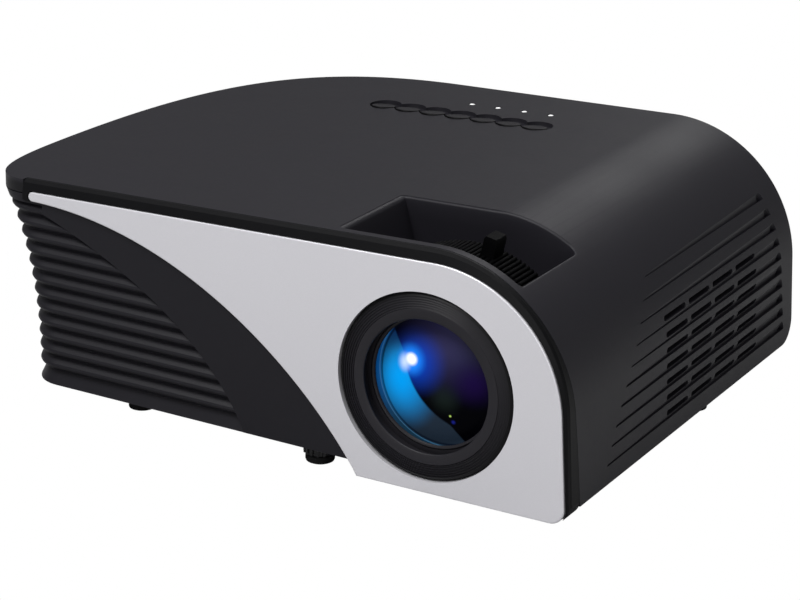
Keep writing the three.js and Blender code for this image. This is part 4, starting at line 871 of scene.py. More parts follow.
def make_finishes(housing):
    cover, gloss, grain = tuple(housing.colour), housing.gloss, housing.grain / MM
    finishes.update({
        # Painted shade on the cover's skirt, at 0.35 of its colour.
        "cover": moulded("Top cover plastic", cover, gloss, grain, specular=0.18, skirt=0.35),
        # Painted shade: the case is a darker copy of the cover's plastic, for its shaded ribbed sides.
        "case": moulded("Case plastic", shaded(cover, 0.7), gloss, grain, specular=0.15),
        "bezel": moulded("Bezel plastic", srgb(9, 9, 11), 0.45, 0.5, 0.012, specular=0.1),
        "silver": lacquered("Silver lacquer", housing.panel_colour, 0.36, 0.35),
        "satin": moulded("Satin black plastic", srgb(31, 30, 34), 0.45, 0.45, 0.008, specular=0.18),
        "grip": moulded("Grip plastic", srgb(3, 3, 4), 0.6, 0.45, 0.01, specular=0.05),
        "gloss": moulded("Gloss black plastic", srgb(16, 16, 18), 0.22, 0.6, 0.004, specular=0.4),
        # The keys and the lens hood carry painted shade.
        "key": plastic_with_painted_shade("Key plastic", srgb(26, 25, 29), 0.5, 0.5, 0.02, 0.15, key_shades),
        "hood": plastic_with_painted_shade("Hood plastic with painted shade", srgb(31, 30, 34), 0.45, 0.45, 0.01, 0.18, hood_painted_shade),
        "rubber": moulded("Foot rubber", srgb(14, 14, 15), 0.8, 0.8, 0.03, specular=0.2),
        "steel": metal("Plated steel", (0.6, 0.6, 0.61), 0.3),
        "gold": metal("Gold plate", (0.83, 0.61, 0.22), 0.25, 0.2),
        "brass": metal("Turned brass", (0.7, 0.52, 0.24), 0.35),
        "aluminium": metal("Extruded aluminium", (0.72, 0.73, 0.74), 0.42),
        "mirror": metal("Mirror silvering", (0.92, 0.93, 0.94), 0.05, 2.0, 0.0005),
        "board": board_lacquer("Board lacquer"),
        "coating": lens_painted_reflections("Lens glass with painted reflections"),
        "clear": clear_glass("Clear optics", (0.86, 0.9, 0.92), 0.35),
        "display": moulded("Display glass", srgb(20, 24, 34), 0.12, 2.0, 0.001, coat=1.0),
        "light": moulded("Light guide", srgb(250, 250, 250), 0.35, 0.8, 0.003, specular=0.5),
        "window": moulded("Infrared window", srgb(30, 6, 10), 0.08, 2.0, 0.001, coat=1.0),
    })


# Settings

def colour_setting(name, description, default):
    return FloatVectorProperty(name=name, description=description, subtype="COLOR", size=3, default=default,
                               min=0.0, max=1.0)


def length_setting(name, description, default):
    return FloatProperty(name=name, description=description, default=default, subtype="DISTANCE",
                         unit="LENGTH")


class HousingSettings(bpy.types.PropertyGroup):
    colour: colour_setting("Plastic colour", "Colour of the top cover", srgb(30, 29, 34))
    panel_colour: colour_setting("Panel colour", "Colour of the bright front panel", srgb(204, 203, 208))
    gloss: FloatProperty(name="Roughness", description="Roughness of the moulded plastic", default=0.45,
                         min=0.0, max=1.0)
    grain: length_setting("Grain", "Size of the moulded grain's cells", 0.00055)
    edge: length_setting("Edge rounding", "Width of the rounding on the shells' edges", 0.0004)


class LensSettings(bpy.types.PropertyGroup):
    glass_radius: length_setting("Glass radius", "Radius of the front glass that shows", 0.019)
    ridges: IntProperty(name="Hood ridges", description="Fine ridges on the lens hood's face", default=5,
                        min=1, max=12)
    teeth: IntProperty(name="Grip teeth", description="Teeth across the focus ring's grip", default=40, min=4,
                       max=60)


class StageSettings(bpy.types.PropertyGroup):
    key_power: FloatProperty(name="Key light", description="Power of the main soft box", default=15.0,
                             unit="POWER")
    fill: FloatProperty(name="Fill", description="Strength of the even light from all round", default=0.22)
    floor_colour: colour_setting("Floor colour", "Colour of the plain floor", (0.45, 0.45, 0.45))


# Operators

class ProjectorStep(bpy.types.Operator):
    """One step of dressing the projector"""

    bl_idname = "projector.step"
    bl_label = "Projector step"

    def execute(self, context):
        self.build(context.scene)
        return {"FINISHED"}

    def build(self, scene):
        raise NotImplementedError


def button_x(i):
    return BUTTONS["x"] + i * BUTTONS["pitch"]


def indicator_x(i):
    return INDICATORS["x"] + i * INDICATORS["pitch"]


def on_right_wall(z):
    """A place on the right wall or shoulder at a height, with the directions out of it and up along it."""
    cx, cz = shoulder_centre(0, 0, SHOULDER)
    lean = max(math.asin(min(max((z - cz) / SHOULDER, -1.0), 1.0)), WALL_LEAN)
    x = cx + SHOULDER * math.cos(lean) if lean > WALL_LEAN else wall_x(z)
    out, up = Vector((math.cos(lean), 0, math.sin(lean))), Vector((-math.sin(lean), 0, math.cos(lean)))
    return Vector((x, 0, z)), out, up


def groove_cutter(i):
    """One groove: a step along its lower edge and a face that rises from its foot, round at the rear end."""
    at, out, up = on_right_wall(GROOVES["lowest"] + i * GROOVES["pitch"])
    start = GROOVES["start"] + i * GROOVES["start_step"] + i ** 3 * GROOVES["start_bend"]
    turn, end = GROOVES["round"], GROOVES["end"] - i * GROOVES["end_step"]
    stations = [(start - 0.6, 0.1, 0.1), (start, GROOVE_RISE[0], GROOVE_DEPTH[0]),
                (end - turn - 1.6, GROOVE_RISE[1], GROOVE_DEPTH[1])]
    for t in quarter(8):
        share = max(math.cos(t), 0.06)
        y = end - turn + turn * math.sin(t)
        stations.append((y, GROOVE_RISE[2] * share, GROOVE_DEPTH[2] * share ** 0.5))
    rings = []
    for y, rise, depth in stations:
        foot, edge = at - depth * out, at + rise * up
        scoop = foot.lerp(edge, 0.5) - 0.1 * depth * out
        points = (at + depth * out, foot, scoop, edge, edge + (edge - foot) * 0.5)
        rings.append([(point.x, y, point.z) for point in points])
    return loft(rings)


def capsule(x0, x1, y0, y1, z, half):
    """A slot cutter with rounded ends, running across X."""
    arc = [math.pi / 2 * k / 3 for k in range(-3, 4)]
    outline = [(y1 - half + half * math.cos(t), z + half * math.sin(t)) for t in arc]
    outline += [(y0 + half - half * math.cos(t), z - half * math.sin(t)) for t in arc]
    return prism_x(outline, x0, x1)


def top_surface(x):
    """Height and slope of the outer top or shoulder at x."""
    cx, cz = shoulder_centre(0, 0, SHOULDER)
    if x < cx - SHOULDER * math.sin(TOP_SLOPE):
        return top_z(x), math.tan(TOP_SLOPE)
    rise = math.sqrt(SHOULDER ** 2 - (x - cx) ** 2)
    return cz + rise, (cx - x) / rise


def well_path(side_steps=16, corner_steps=6):
    """Places round the well's opening, each with its direction away from the well."""
    x0, x1, y0, y1 = WELL["left"], WELL["right"], WELL["near"], WELL["far"]
    corners = []
    for k, (x, y, sx, sy) in enumerate(((x0, y0, 1, 1), (x1, y0, -1, 1), (x1, y1, -1, -1), (x0, y1, 1, -1))):
        radius = WELL_CORNERS[k]
        turns = [math.radians(180 + 90 * k + 90 * i / corner_steps) for i in range(corner_steps + 1)]
        corners.append([(Vector((x + radius * (sx + math.cos(t)), y + radius * (sy + math.sin(t)))),
                         Vector((math.cos(t), math.sin(t)))) for t in turns])
    path = []
    for corner, after in zip(corners, corners[1:] + corners[:1]):
        (start, away), (end, _) = corner[-1], after[0]
        path += corner + [(start.lerp(end, i / side_steps), away) for i in range(1, side_steps)]
    return path


def well_rim():
    """The cut that rounds the well's rim, wide at the left where the wall leans and narrow elsewhere."""
    inner, over = -0.4, 2.0
    sections = []
    for place, away in well_path():
        height, slope = top_surface(place.x)
        slope *= away.x
        leaning = max(-away.x, 0.0) ** 2
        radius = WELL["rim"] + (WELL["soft"] - WELL["rim"]) * leaning
        lean = WELL["lean"] * leaning
        arc = [(radius * (1 - math.cos(t)), radius * (1 - math.sin(t))) for t in quarter(8)]
        line = [(inner - lean * radius, -radius)]
        line += [(out - lean * down, slope * out - down) for out, down in arc]
        line += [(radius, slope * radius + over), (inner, over)]
        sections.append([(*(place + away * out), height + up) for out, up in line])
    return loft(sections, closed=True)


def well_space(low):
    """The well's open space down to a height: upright walls, but the left one leans in."""
    plan = prism_z([tuple(place) for place, _ in well_path(2)], low, TOP + OVER)
    x0, lean_end, far = WELL["left"], WELL["lean_end"], WELL["right"] + 5
    edge, top, left = top_z(x0), TOP + OVER + 1, x0 - 1
    foot = x0 + (edge - lean_end) * WELL["lean"]
    line = [(left, top), (left, edge + 0.01), (x0, edge), (foot, lean_end), (left, lean_end), (left, low - 1),
            (far, low - 1), (far, top)]
    return common(plan, prism_y(line, FRONT, REAR))


def well_walls():
    """The well's hanging walls, shortened where the focus ring and its tab pass."""
    x0, x1, y0, y1, thick = WELL["left"], WELL["right"], WELL["near"], WELL["far"], WELL["wall"]
    low, over, short, bite = WELL["cut_foot"], 1, 0.2, 0.5
    box = block(x0 - thick, x1 + thick, y0 - thick, y1 + thick, WELL["walls_foot"], TOP)
    near = block(x0 - thick - over, x1 + thick + over, y0 - thick - over, y0 + bite, low, WELL_LOW["near"])
    left = block(x0 - thick - over, x0 + bite, y0 - 5, y1 - short, low, WELL_LOW["left"])
    right = block(x1 - bite, x1 + thick + over, y0 - 5, y1 - short, low, WELL_LOW["right"])
    ring = rod_y(LENS_X, LENS_Z, FRONT, REAR, SPIGOT + FIT, 64)
    return common(cut_from(box, well_space(low), near, left, right, ring), housing_body(0))


def side_strip(grow, inset=0.0):
    """The strip of the right wall that belongs to the bezel, wider towards its foot."""
    start = FRONT + 2.0
    line = [(start, STRIP_TOP), *((FRONT + back + grow, z) for z, back in STRIP_EDGE), (start, 0.0)]
    band = prism_y(housing_profile(-0.5 if grow else 0, 5.0 - grow * 5), FRONT, FRONT + 8)
    inner = prism_y(housing_profile(WALL - inset, -OVER), FRONT - 1, FRONT + 9)
    return common(cut_from(band, inner), prism_x(line, STRIP_LEFT, HALF + OVER))


def vent_slots():
    slots = []
    for i in range(SLOTS["rows"]):
        z = GROOVES["lowest"] + i * GROOVES["pitch"] + SLOTS["above"]
        x = on_right_wall(z)[0].x
        one = capsule(x - 10, x + 10, SLOTS["y"], SLOTS["y"] + SLOTS["length"], z, SLOTS["height"] / 2)
        slots.append(repeated(one, False, SLOTS["columns"], (0.0, SLOTS["pitch"], 0.0)))
    return together(slots)


def key_troughs():
    reach, depth = TROUGH["radius"], TROUGH["depth"]
    profile = ((0, -depth), (reach - 0.4, -depth), (reach - 0.1, -depth + 0.15), (reach, -depth + 0.4),
               (reach, OVER), (0, OVER))
    y = BUTTONS["y"] + TROUGH["behind"]
    return [on_top(button_x(i), y, profile, 64) for i in range(BUTTONS["count"])]


class PROJECTOR_OT_top_cover(ProjectorStep):
    """Make the top cover with its finger well, key troughs, grooves and slots"""

    bl_idname = "projector.top_cover"
    bl_label = "Top cover"

    def build(self, scene):
        shell = cut_from(housing_body(0), housing_body(WALL), below_cover(0))
        left, right, top = BEZEL["left"] - SEAM, HALF + OVER, TOP + OVER
        fitting = block(left, right, FRONT - OVER, FRONT + BEZEL["depth"] + FIT, -OVER, top)
        plate_y = FRONT + FACE_STEP + WALL + FIT
        plate = common(prism_y(housing_profile(WALL, -OVER), FRONT - OVER, plate_y),
                       block(left, right, FRONT - OVER, plate_y, -OVER, top))
        shell = cut_from(shell, fitting, plate, side_strip(SEAM * 2, 0.5))
        boss = COVER_BOSS
        bosses = together([post_z(x, y, boss["foot"], TOP - SKIRT, boss["radius"], 32) for x, y in COLUMNS])
        cover = united(shell, well_walls(), common(bosses, housing_body(0)))
        key_hole = BUTTONS["radius"] + BUTTONS["clearance"]
        light_hole = INDICATORS["radius"] + INDICATORS["clearance"]
        holes = [hole_in_top(button_x(i), BUTTONS["y"], key_hole, 64) for i in range(BUTTONS["count"])]
        holes += [hole_in_top(indicator_x(i), INDICATORS["y"], light_hole, 20)
                  for i in range(INDICATORS["count"])]
        holes += [post_z(x, y, boss["hole_foot"], boss["hole_top"], boss["hole"], 20) for x, y in COLUMNS]
        grooves = together([groove_cutter(i) for i in range(GROOVES["count"])])
        troughs = key_troughs()
        cover = cut_from(cover, well_space(WELL["space_foot"]), well_rim(), grooves, vent_slots(),
                         together(troughs[::2]), together(troughs[1::2]), together(holes))
        skin("top_cover", cover, "cover", "housing", 24.0, scene.projector_housing.edge / MM)


class PROJECTOR_OT_bottom_case(ProjectorStep):
    """Make the bottom case with its wrapped ribs, vents, bosses and rear windows"""

    bl_idname = "projector.bottom_case"
    bl_label = "Bottom case"

    def build(self, scene):
        left, right, top = -HALF - OVER, HALF + OVER, TOP + OVER
        front = prism_y([(RIB_TIPS[0][0], top), *curve(RIB_TIPS, 24), (RIB_TIPS[3][0], -OVER), (right, -OVER),
                         (right, top)], FRONT - OVER, FRONT + 6.0)
        rear = block(SMOOTH_REAR, right, 0, REAR + OVER, -OVER, top)
        above = block(left, right, FRONT - OVER, REAR + OVER, RIB_TOP, top)
        smooth = common(housing_body(0), united(front, rear, above))
        shell = cut_from(united(ribbed_body(), smooth), housing_body(WALL))
        boss = FLOOR_BOSS
        bosses = [post_z(x, y, boss["foot"], boss["top"], boss["radius"], 40) for x, y in (*COLUMNS, TILT)]
        inside = prism_y(housing_profile(WALL + FIT, BASE), FRONT, REAR)
        kept = common(united(shell, together(bosses)), below_cover(FIT), inside)
        front_cut = prism_y(bezel_region(FIT, -OVER), FRONT - OVER, PLATE_REAR + FIT)
        screws = [post_z(x, y, -OVER, boss["reach"], boss["hole"], 24) for x, y in COLUMNS]
        screws.append(post_z(*TILT, -OVER, boss["reach"], boss["nut"], 32))
        heads = [post_z(x, y, -OVER, boss["head_top"], boss["head"], 32) for x, y in COLUMNS]
        kept = cut_from(kept, front_cut, left_vents(), together(screws), together(heads),
                        together(rear_windows()))
        soft = scene.projector_housing.edge / MM * 0.5
        skin("bottom_case", kept, "case", "housing", 24.0, soft)


def left_vents():
    vent = LEFT_VENT
    z, half, high = RIBS["lowest"] + vent["first"] * RIBS["pitch"], vent["width"] / 2, vent["height"] / 2
    one = block(-HALF - OVER, vent["end"], vent["y"] - half, vent["y"] + half, z - high, z + high)
    return repeated(one, False, vent["rows"], (0.0, 0.0, RIBS["pitch"]))


def box_of(name):
    """The lowest and the highest corner of a node's box, in millimetres."""
    return [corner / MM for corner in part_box(name)]


def middle_of(name):
    low, high = box_of(name)
    return (low.x + high.x) / 2, (low.z + high.z) / 2


def rear_windows():
    """The windows of the rear wall, a little larger than what stands in them."""
    inner, outer = REAR - 10, REAR + OVER
    cutters = []
    for name in ("hdmi_socket", "usb_socket", "card_slot", "power_inlet"):
        low, high = box_of(name)
        cutters.append(block(low.x - FIT, high.x + FIT, inner, outer, low.z - FIT, high.z + FIT))
    for name in ("av_jack", "headphone_jack"):
        cutters.append(rod_y(*middle_of(name), inner, outer, JACK_WINDOW, 40))
    for x0, x1, z0, z1 in (VGA_WINDOW, INFRARED_WINDOW):
        cutters.append(block(x0, x1, inner, outer, z0, z1))
    return cutters


class PROJECTOR_OT_front(ProjectorStep):
    """Make the dark bezel and the bright front panel"""

    bl_idname = "projector.front"
    bl_label = "Bezel and panel"

    def build(self, scene):
        skin("front_bezel", self.bezel(), "bezel", "housing", 24.0, 0.15)
        soft = scene.projector_housing.edge / MM
        stations = [(soft * 1.5, FRONT)]
        stations += [(soft * (1 - math.sin(t)), FRONT + soft * (1 - math.cos(t))) for t in quarter(5)]
        stations.append((0.0, PANEL_REAR))
        panel = loft([[(x, y, z) for x, z in panel_outline(-inset)] for inset, y in stations])
        panel = cut_from(panel, rod_y(LENS_X, LENS_Z, FRONT - OVER, 0, PANEL["hole"], 160))
        skin("front_panel", panel, "silver", "housing", 30.0)

    def bezel(self):
        left, right, foot, top = -HALF - OVER, HALF + OVER, BEZEL["foot"], TOP + OVER
        outer, bevelled = (0, 0, SHOULDER), FRONT + BEZEL["bevel"]
        stations = ((PANEL_EDGE, FRONT + SEAT), (BEZEL_MIDDLE, FRONT + FACE_STEP), (outer, bevelled),
                    (outer, FRONT + BEZEL["depth"]))
        rim = loft([[(x, y, z) for x, z in front_profile(*form, foot, left)] for form, y in stations])
        inset = WALL + FIT
        plate = front_profile(inset, inset, SHOULDER - inset, foot, left)
        plate = prism_y(plate, FRONT + BEZEL["plate"], PLATE_REAR)
        high = foot + PANEL["corner"]
        within = [(left, foot), *foot_corner(wall_x(high), foot), (right, high), (right, top), (left, top)]
        region = prism_y(bezel_region(-SEAM, foot), FRONT - OVER, 0)
        form = common(united(rim, plate, side_strip(0.0)), region, prism_y(within, FRONT - OVER, 0))
        pocket = prism_y(panel_outline(FIT), FRONT - OVER, PLATE_FRONT)
        return cut_from(form, pocket, rod_y(LENS_X, LENS_Z, FRONT - OVER, 0, SPIGOT + FIT))


class PROJECTOR_OT_lens(ProjectorStep):
    """Make the lens hood, sleeve, barrel, retainer and glasses"""

    bl_idname = "projector.lens"
    bl_label = "Lens group"

    def build(self, scene):
        settings = scene.projector_lens
        skin("lens_hood", lens_hood(settings.ridges), "hood", "housing", 18.0)
        skin("lens_sleeve", lens_sleeve(), "satin", "housing", 30.0, 0.2)
        clip = FOCUS_RING["rear"] + FIT
        clip_ring = ring_on_lens(SLEEVE["radius"] + SEAT, SPIGOT, clip, clip + FOCUS_RING["clip"])
        skin("ring_clip", clip_ring, "steel", "housing", 30.0, 0.2)
        skin("lens_barrel", lens_barrel(), "satin", "lens_barrel")
        start, bore = BARREL_FRONT + SEAT, settings.glass_radius / MM
        end = start + RETAINER["length"]
        outer = RETAINER["radius"]
        ring = on_lens(((bore, start + 1.3), (bore + 0.25, start + 0.9), (RETAINER["face"], start + 0.75),
                        (outer, start + 1.0), (outer, end), (bore, end)), closed=True)
        skin("lens_retainer", ring, "satin", "lens_barrel", 30.0)
        back = BARREL_FRONT + BARREL["length"] - BARREL["rear_seat"] + SEAT
        # Both lenses wear the glass with painted reflections.
        skin("front_lens", dome(end + SEAT, bore - 0.1, 2.6, -3.4), "coating", "lens_barrel", 40.0)
        skin("rear_lens", dome(back, 18.4, 2.4, 1.6), "coating", "lens_barrel", 40.0)


def lens_hood(ridges):
    """The hood with a flat face of fine ridges, each a step and a slope."""
    shelf, rear, face, bore = PLATE_FRONT - SEAT, PLATE_REAR + FIT, HOOD["face"], HOOD["bore"]
    profile = [(HOOD["side"], LENS_FACE + 1.0), (HOOD["radius"], LENS_FACE + 0.1), (face, LENS_FACE)]
    pitch = (face - bore) / ridges
    for i in range(ridges):
        outer, foot = face - i * pitch, LENS_FACE + HOOD["ridge"]
        profile += [(outer, foot), (outer - pitch * 0.3, foot - 0.03), (outer - pitch + 0.02, LENS_FACE)]
    profile += [(bore, LENS_FACE + 0.3), (bore, rear), (SPIGOT, rear), (SPIGOT, shelf), (HOOD["side"], shelf)]
    return on_lens(profile, 160, closed=True)


def lens_sleeve():
    """The fixed sleeve with its inward lip, its flange and the straight slot for the barrel's pin."""
    flange, lip, face, radius = PLATE_REAR + FIT + SEAT, SLEEVE["lip"], SLEEVE["face"], SLEEVE["radius"]
    after, inside = flange + SLEEVE["flange"], LENS_FACE + SLEEVE["lip_depth"]
    tube = on_lens(((lip, LENS_FACE + 0.3), (lip + 0.1, LENS_FACE + 0.1), (lip + 0.35, LENS_FACE),
                    (face, LENS_FACE), (face, flange), (SPIGOT, flange), (SPIGOT, after), (radius, after),
                    (radius, SLEEVE["rear"]), (SLEEVE["bore"], SLEEVE["rear"]),
                    (SLEEVE["waist"], SLEEVE["waist_end"]),
                    (SLEEVE["waist"], inside), (lip, inside)), closed=True)
    half = PIN["slot"]
    slot = block(LENS_X - PIN["slot_out"], LENS_X - PIN["slot_in"], PIN["y"] - PIN["out"] - half,
                 PIN["y"] + PIN["in"] + half, LENS_Z - half, LENS_Z + half)
    return cut_from(tube, slot)


def lens_barrel():
    """The sliding barrel with its threaded bore and its pin."""
    radius, bore, throat = BARREL["radius"], BARREL["bore"], BARREL["throat"]
    start = BARREL_FRONT + BARREL["start"]
    back, seat = BARREL_FRONT + BARREL["length"], BARREL_FRONT + BARREL["front_seat"]
    threads = []
    for i in range(THREADS["count"]):
        y = BARREL_FRONT + THREADS["first"] + i * THREADS["pitch"]
        threads += [(bore + THREADS["depth"], y), (bore, y + THREADS["pitch"] / 2)]
    inner = back - BARREL["rear_seat"]
    tube = on_lens([(radius, start), (radius, back), (bore, back), (bore, inner), (throat, inner),
                    (throat, seat), (bore, seat), *reversed(threads), (bore, start)], closed=True)
    pin = prism_x(circle(PIN["y"], LENS_Z, PIN["radius"], 24), LENS_X - SPIGOT, LENS_X - PIN["root"])
    return united(tube, pin)


def dome(place, bore, edge, crown, steps=14):
    """A lens with one crowned face; a negative crown bulges forward."""
    arc = [(bore * i / steps, crown * (1 - (i / steps) ** 2)) for i in range(steps + 1)]
    rear = place + edge
    if crown < 0:
        profile = [(r, place + c) for r, c in arc] + [(GLASS_RADIUS, place), (GLASS_RADIUS, rear), (0, rear)]
    else:
        profile = [(0, place), (GLASS_RADIUS, place), (GLASS_RADIUS, rear)]
        profile += [(r, rear + c) for r, c in reversed(arc)]
    return on_lens(profile, 96)


class PROJECTOR_OT_focus_ring(ProjectorStep):
    """Make the focus ring with its knurled grip and tab"""

    bl_idname = "projector.focus_ring"
    bl_label = "Focus ring"

    def build(self, scene):
        collar = ring_on_lens(FOCUS_RING["bore"], SPIGOT, FOCUS_RING["front"], FOCUS_RING["rear"])
        rim = prism_y(grip_sector(*GRIP["rim"]), GRIP["front"], GRIP["rear"])
        lip = prism_y(grip_sector(*GRIP["lip"]), GRIP["front"], GRIP["lip_rear"])
        web = prism_y(grip_sector(*GRIP["web"]), GRIP["web_front"], GRIP["rear"])
        tab = loft([[(x * s, y, z) for x, z in mirrored(TAB)] for y, s in TAB_STATIONS])
        placed(tab, Matrix.Translation((LENS_X, 0, LENS_Z)) @ Matrix.Rotation(GRIP["centre"], 4, "Y"))
        ring = united(collar, rim, lip, web, knurl(scene.projector_lens.teeth), tab)
        skin("focus_ring", cut_from(ring, helical_slot()), "grip", "focus_ring", 30.0, 0.12)


def mirrored(points):
    """An outline from its right half, the left half first."""
    return [(-x, z) for x, z in points] + list(reversed(points))


def grip_sector(inner, outer, steps=48):
    angles = [GRIP["centre"] + GRIP["half"] * (2 * i / steps - 1) for i in range(steps + 1)]
    edge = [(outer, a) for a in angles] + [(inner, a) for a in reversed(angles)]
    return [(LENS_X + r * math.sin(a), LENS_Z + r * math.cos(a)) for r, a in edge]


def knurl(teeth):
    """The grip's teeth, lower at both ends."""
    pitch, root = 2 * GRIP["half"] / teeth, TOOTH[0][1]
    width = GRIP["pitch_radius"] * pitch * GRIP["tooth_share"]
    section = mirrored([(width * share, z) for share, z in TOOTH])
    tooth = loft([[(x, y, root + (z - root) * s) for x, z in section] for y, s in TOOTH_STATIONS])
    first = GRIP["centre"] - GRIP["half"] + pitch / 2
    return repeated(tooth, True, teeth, pitch, first, (LENS_X, 0.0, LENS_Z))


def helical_slot(steps=24):
    """The slot that turns the ring's motion into the barrel's slide."""
    rings, half = [], PIN["slot"]
    for i in range(steps + 1):
        turn = HELIX["first"] + i / steps * HELIX["turn"]
        y = PIN["y"] + turn * HELIX["advance"]
        past = ((i == steps) - (i == 0)) * half / FOCUS_RING["bore"]
        angle = math.radians(-90) - turn - past
        corners = ((HELIX["inner"], y - half), (HELIX["outer"], y - half), (HELIX["outer"], y + half),
                   (HELIX["inner"], y + half))
        rings.append([(LENS_X + r * math.sin(angle), place, LENS_Z + r * math.cos(angle))
                      for r, place in corners])
    return loft(rings)


class PROJECTOR_OT_buttons(ProjectorStep):
    """Make the seven keys and the four light guides"""

    bl_idname = "projector.buttons"
    bl_label = "Keys and lights"

    def build(self, scene):
        base, top, radius = BUTTONS["base"], KEY_TOP, BUTTONS["radius"]
        profile = ((0, base), (4.4, base), (4.4, base + 1.2), (radius, base + 1.2), (radius, top - 0.3),
                   (3.9, top - 0.14), (3.78, top - 0.04), (3.5, top), (2.9, top), (1.6, top - 0.04),
                   (0, top - 0.06))
        for i in range(BUTTONS["count"]):
            key = turned(profile, 64)
            for vertex in key.vertices:
                if vertex.co.z > (top - 1) * MM:
                    vertex.co.z -= vertex.co.y * BUTTONS["tilt"]
            name = f"button_{i + 1}"
            skin(name, placed(key, top_matrix(button_x(i), BUTTONS["y"])), "key", name, 40.0)
        foot = INDICATORS["base"]
        guide = ((0, foot), (1.6, foot), (1.6, foot + 1.4), (0.9, foot + 1.4), (0.9, -0.1), (0.75, 0.05),
                 (0, 0.1))
        for i in range(INDICATORS["count"]):
            light = on_top(indicator_x(i), INDICATORS["y"], guide, 32)
            skin(f"indicator_{i + 1}", light, "light", "housing", 40.0)


class PROJECTOR_OT_feet(ProjectorStep):
    """Make the rubber feet, the screw foot and the case screws"""

    bl_idname = "projector.feet"
    bl_label = "Feet and screws"

    def build(self, scene):
        for i, (x, y) in enumerate(FEET):
            skin(f"foot_{i + 1}", standing(x, y, FOOT_PROFILE), "rubber", "housing", 40.0)
        skin("tilt_foot_pad", standing(*TILT, PAD_PROFILE), "rubber", "tilt_foot_pad", 40.0)
        skin("tilt_foot_screw", tilt_screw(), "gloss", "tilt_foot_screw", 30.0)
        screws = [case_screw(x, y, 0.5 * i) for i, (x, y) in enumerate(COLUMNS)]
        names = [f"case_screw_{i + 1}" for i in range(len(COLUMNS))]
        piece("case_screws_skin", together(screws), "steel", "housing", names, 30.0)


def tilt_screw():
    """The screw foot's knob with its teeth, and its thread."""
    count, first, pitch = KNOB_TEETH["count"], SCREW_THREAD["first"], SCREW_THREAD["pitch"]
    teeth = []
    for k in range(count):
        tooth = loft([[(x, y, z) for x, y in KNOB_TOOTH] for z in (KNOB_TEETH["low"], KNOB_TEETH["high"])])
        turn = Matrix.Rotation(2 * math.pi * k / count, 4, "Z")
        teeth.append(placed(tooth, Matrix.Translation((*TILT, 0)) @ turn))
    threads = [standing(*TILT, [(r, first + pitch * k + z) for r, z in THREAD_PROFILE], 32, closed=True)
               for k in range(SCREW_THREAD["count"])]
    knob = united(tidy(standing(*TILT, KNOB_PROFILE)), together(teeth))
    return united(knob, together(threads))


def case_screw(x, y, turn):
    """One screw with a cross in its head, turned as it was left."""
    base = FLOOR_BOSS["head_top"] - SEAT - SCREW["head"]
    tip, radius, shank, head = base + SCREW["length"], SCREW["radius"], SCREW["shank"], base + SCREW["head"]
    profile = ((0, base + 0.02), (1.8, base), (2.5, base + 0.3), (radius, base + 0.8), (radius, head),
               (shank, head), (shank, tip - shank), (0, tip))
    wide, thin, low, high = SCREW["cross_half"], SCREW["cross"], base - 1, base + SCREW["cross_depth"]
    one = cut_from(tidy(turned(profile, 40)), block(-wide, wide, -thin, thin, low, high),
                   block(-thin, thin, -wide, wide, low, high))
    return placed(one, Matrix.Translation((x, y, 0)) @ Matrix.Rotation(turn, 4, "Z"))


class PROJECTOR_OT_inside(ProjectorStep):
    """Give the nodes that stay as they are their finishes, and add the sockets' contacts"""

    bl_idname = "projector.inside"
    bl_label = "Sockets and inside"

    def build(self, scene):
        by_finish = {
            "steel": ("hdmi_socket", "usb_socket", "card_slot", "vga_socket", "transformer"),
            "satin": ("light_box", "light_box_lid", "fan_frame", "fan_rotor", "speaker"),
            "gloss": ("av_jack", "headphone_jack", "power_inlet"),
            "window": ("infrared_window",),
            "board": ("main_board", "power_board", "button_board"),
            "clear": ("fresnel_lens_lamp_side", "fresnel_lens_mirror_side", "condenser_lens"),
            "display": ("display_panel",),
            "mirror": ("fold_mirror",),
            "aluminium": ("heat_sink", "lamp_board"),
            "brass": ("tilt_foot_nut",),
        }
        for finish, names in by_finish.items():
            for name in names:
                dress(nodes[name].data, finishes[finish])
        for socket, row in CONTACTS.items():
            x, z = middle_of(socket)
            half, count, pitch = row["half"], row["count"], row["pitch"]
            one = block(-half, half, REAR - row["rear"], REAR - row["front"], z - row["low"], z - row["high"])
            copies = repeated(one, False, count, (pitch, 0.0, 0.0), (x - (count - 1) * pitch / 2, 0.0, 0.0),
                              material=finishes["gold"])
            piece(row["name"], copies, "gold", "housing")
        for jack in ("av_jack", "headphone_jack"):
            x, z = middle_of(jack)
            rings = [[(px, REAR - back, pz) for px, pz in circle(x, z, radius)] for radius, back in LINING]
            piece(f"{jack}_lining", loft(rings, closed=True), "steel", "housing")


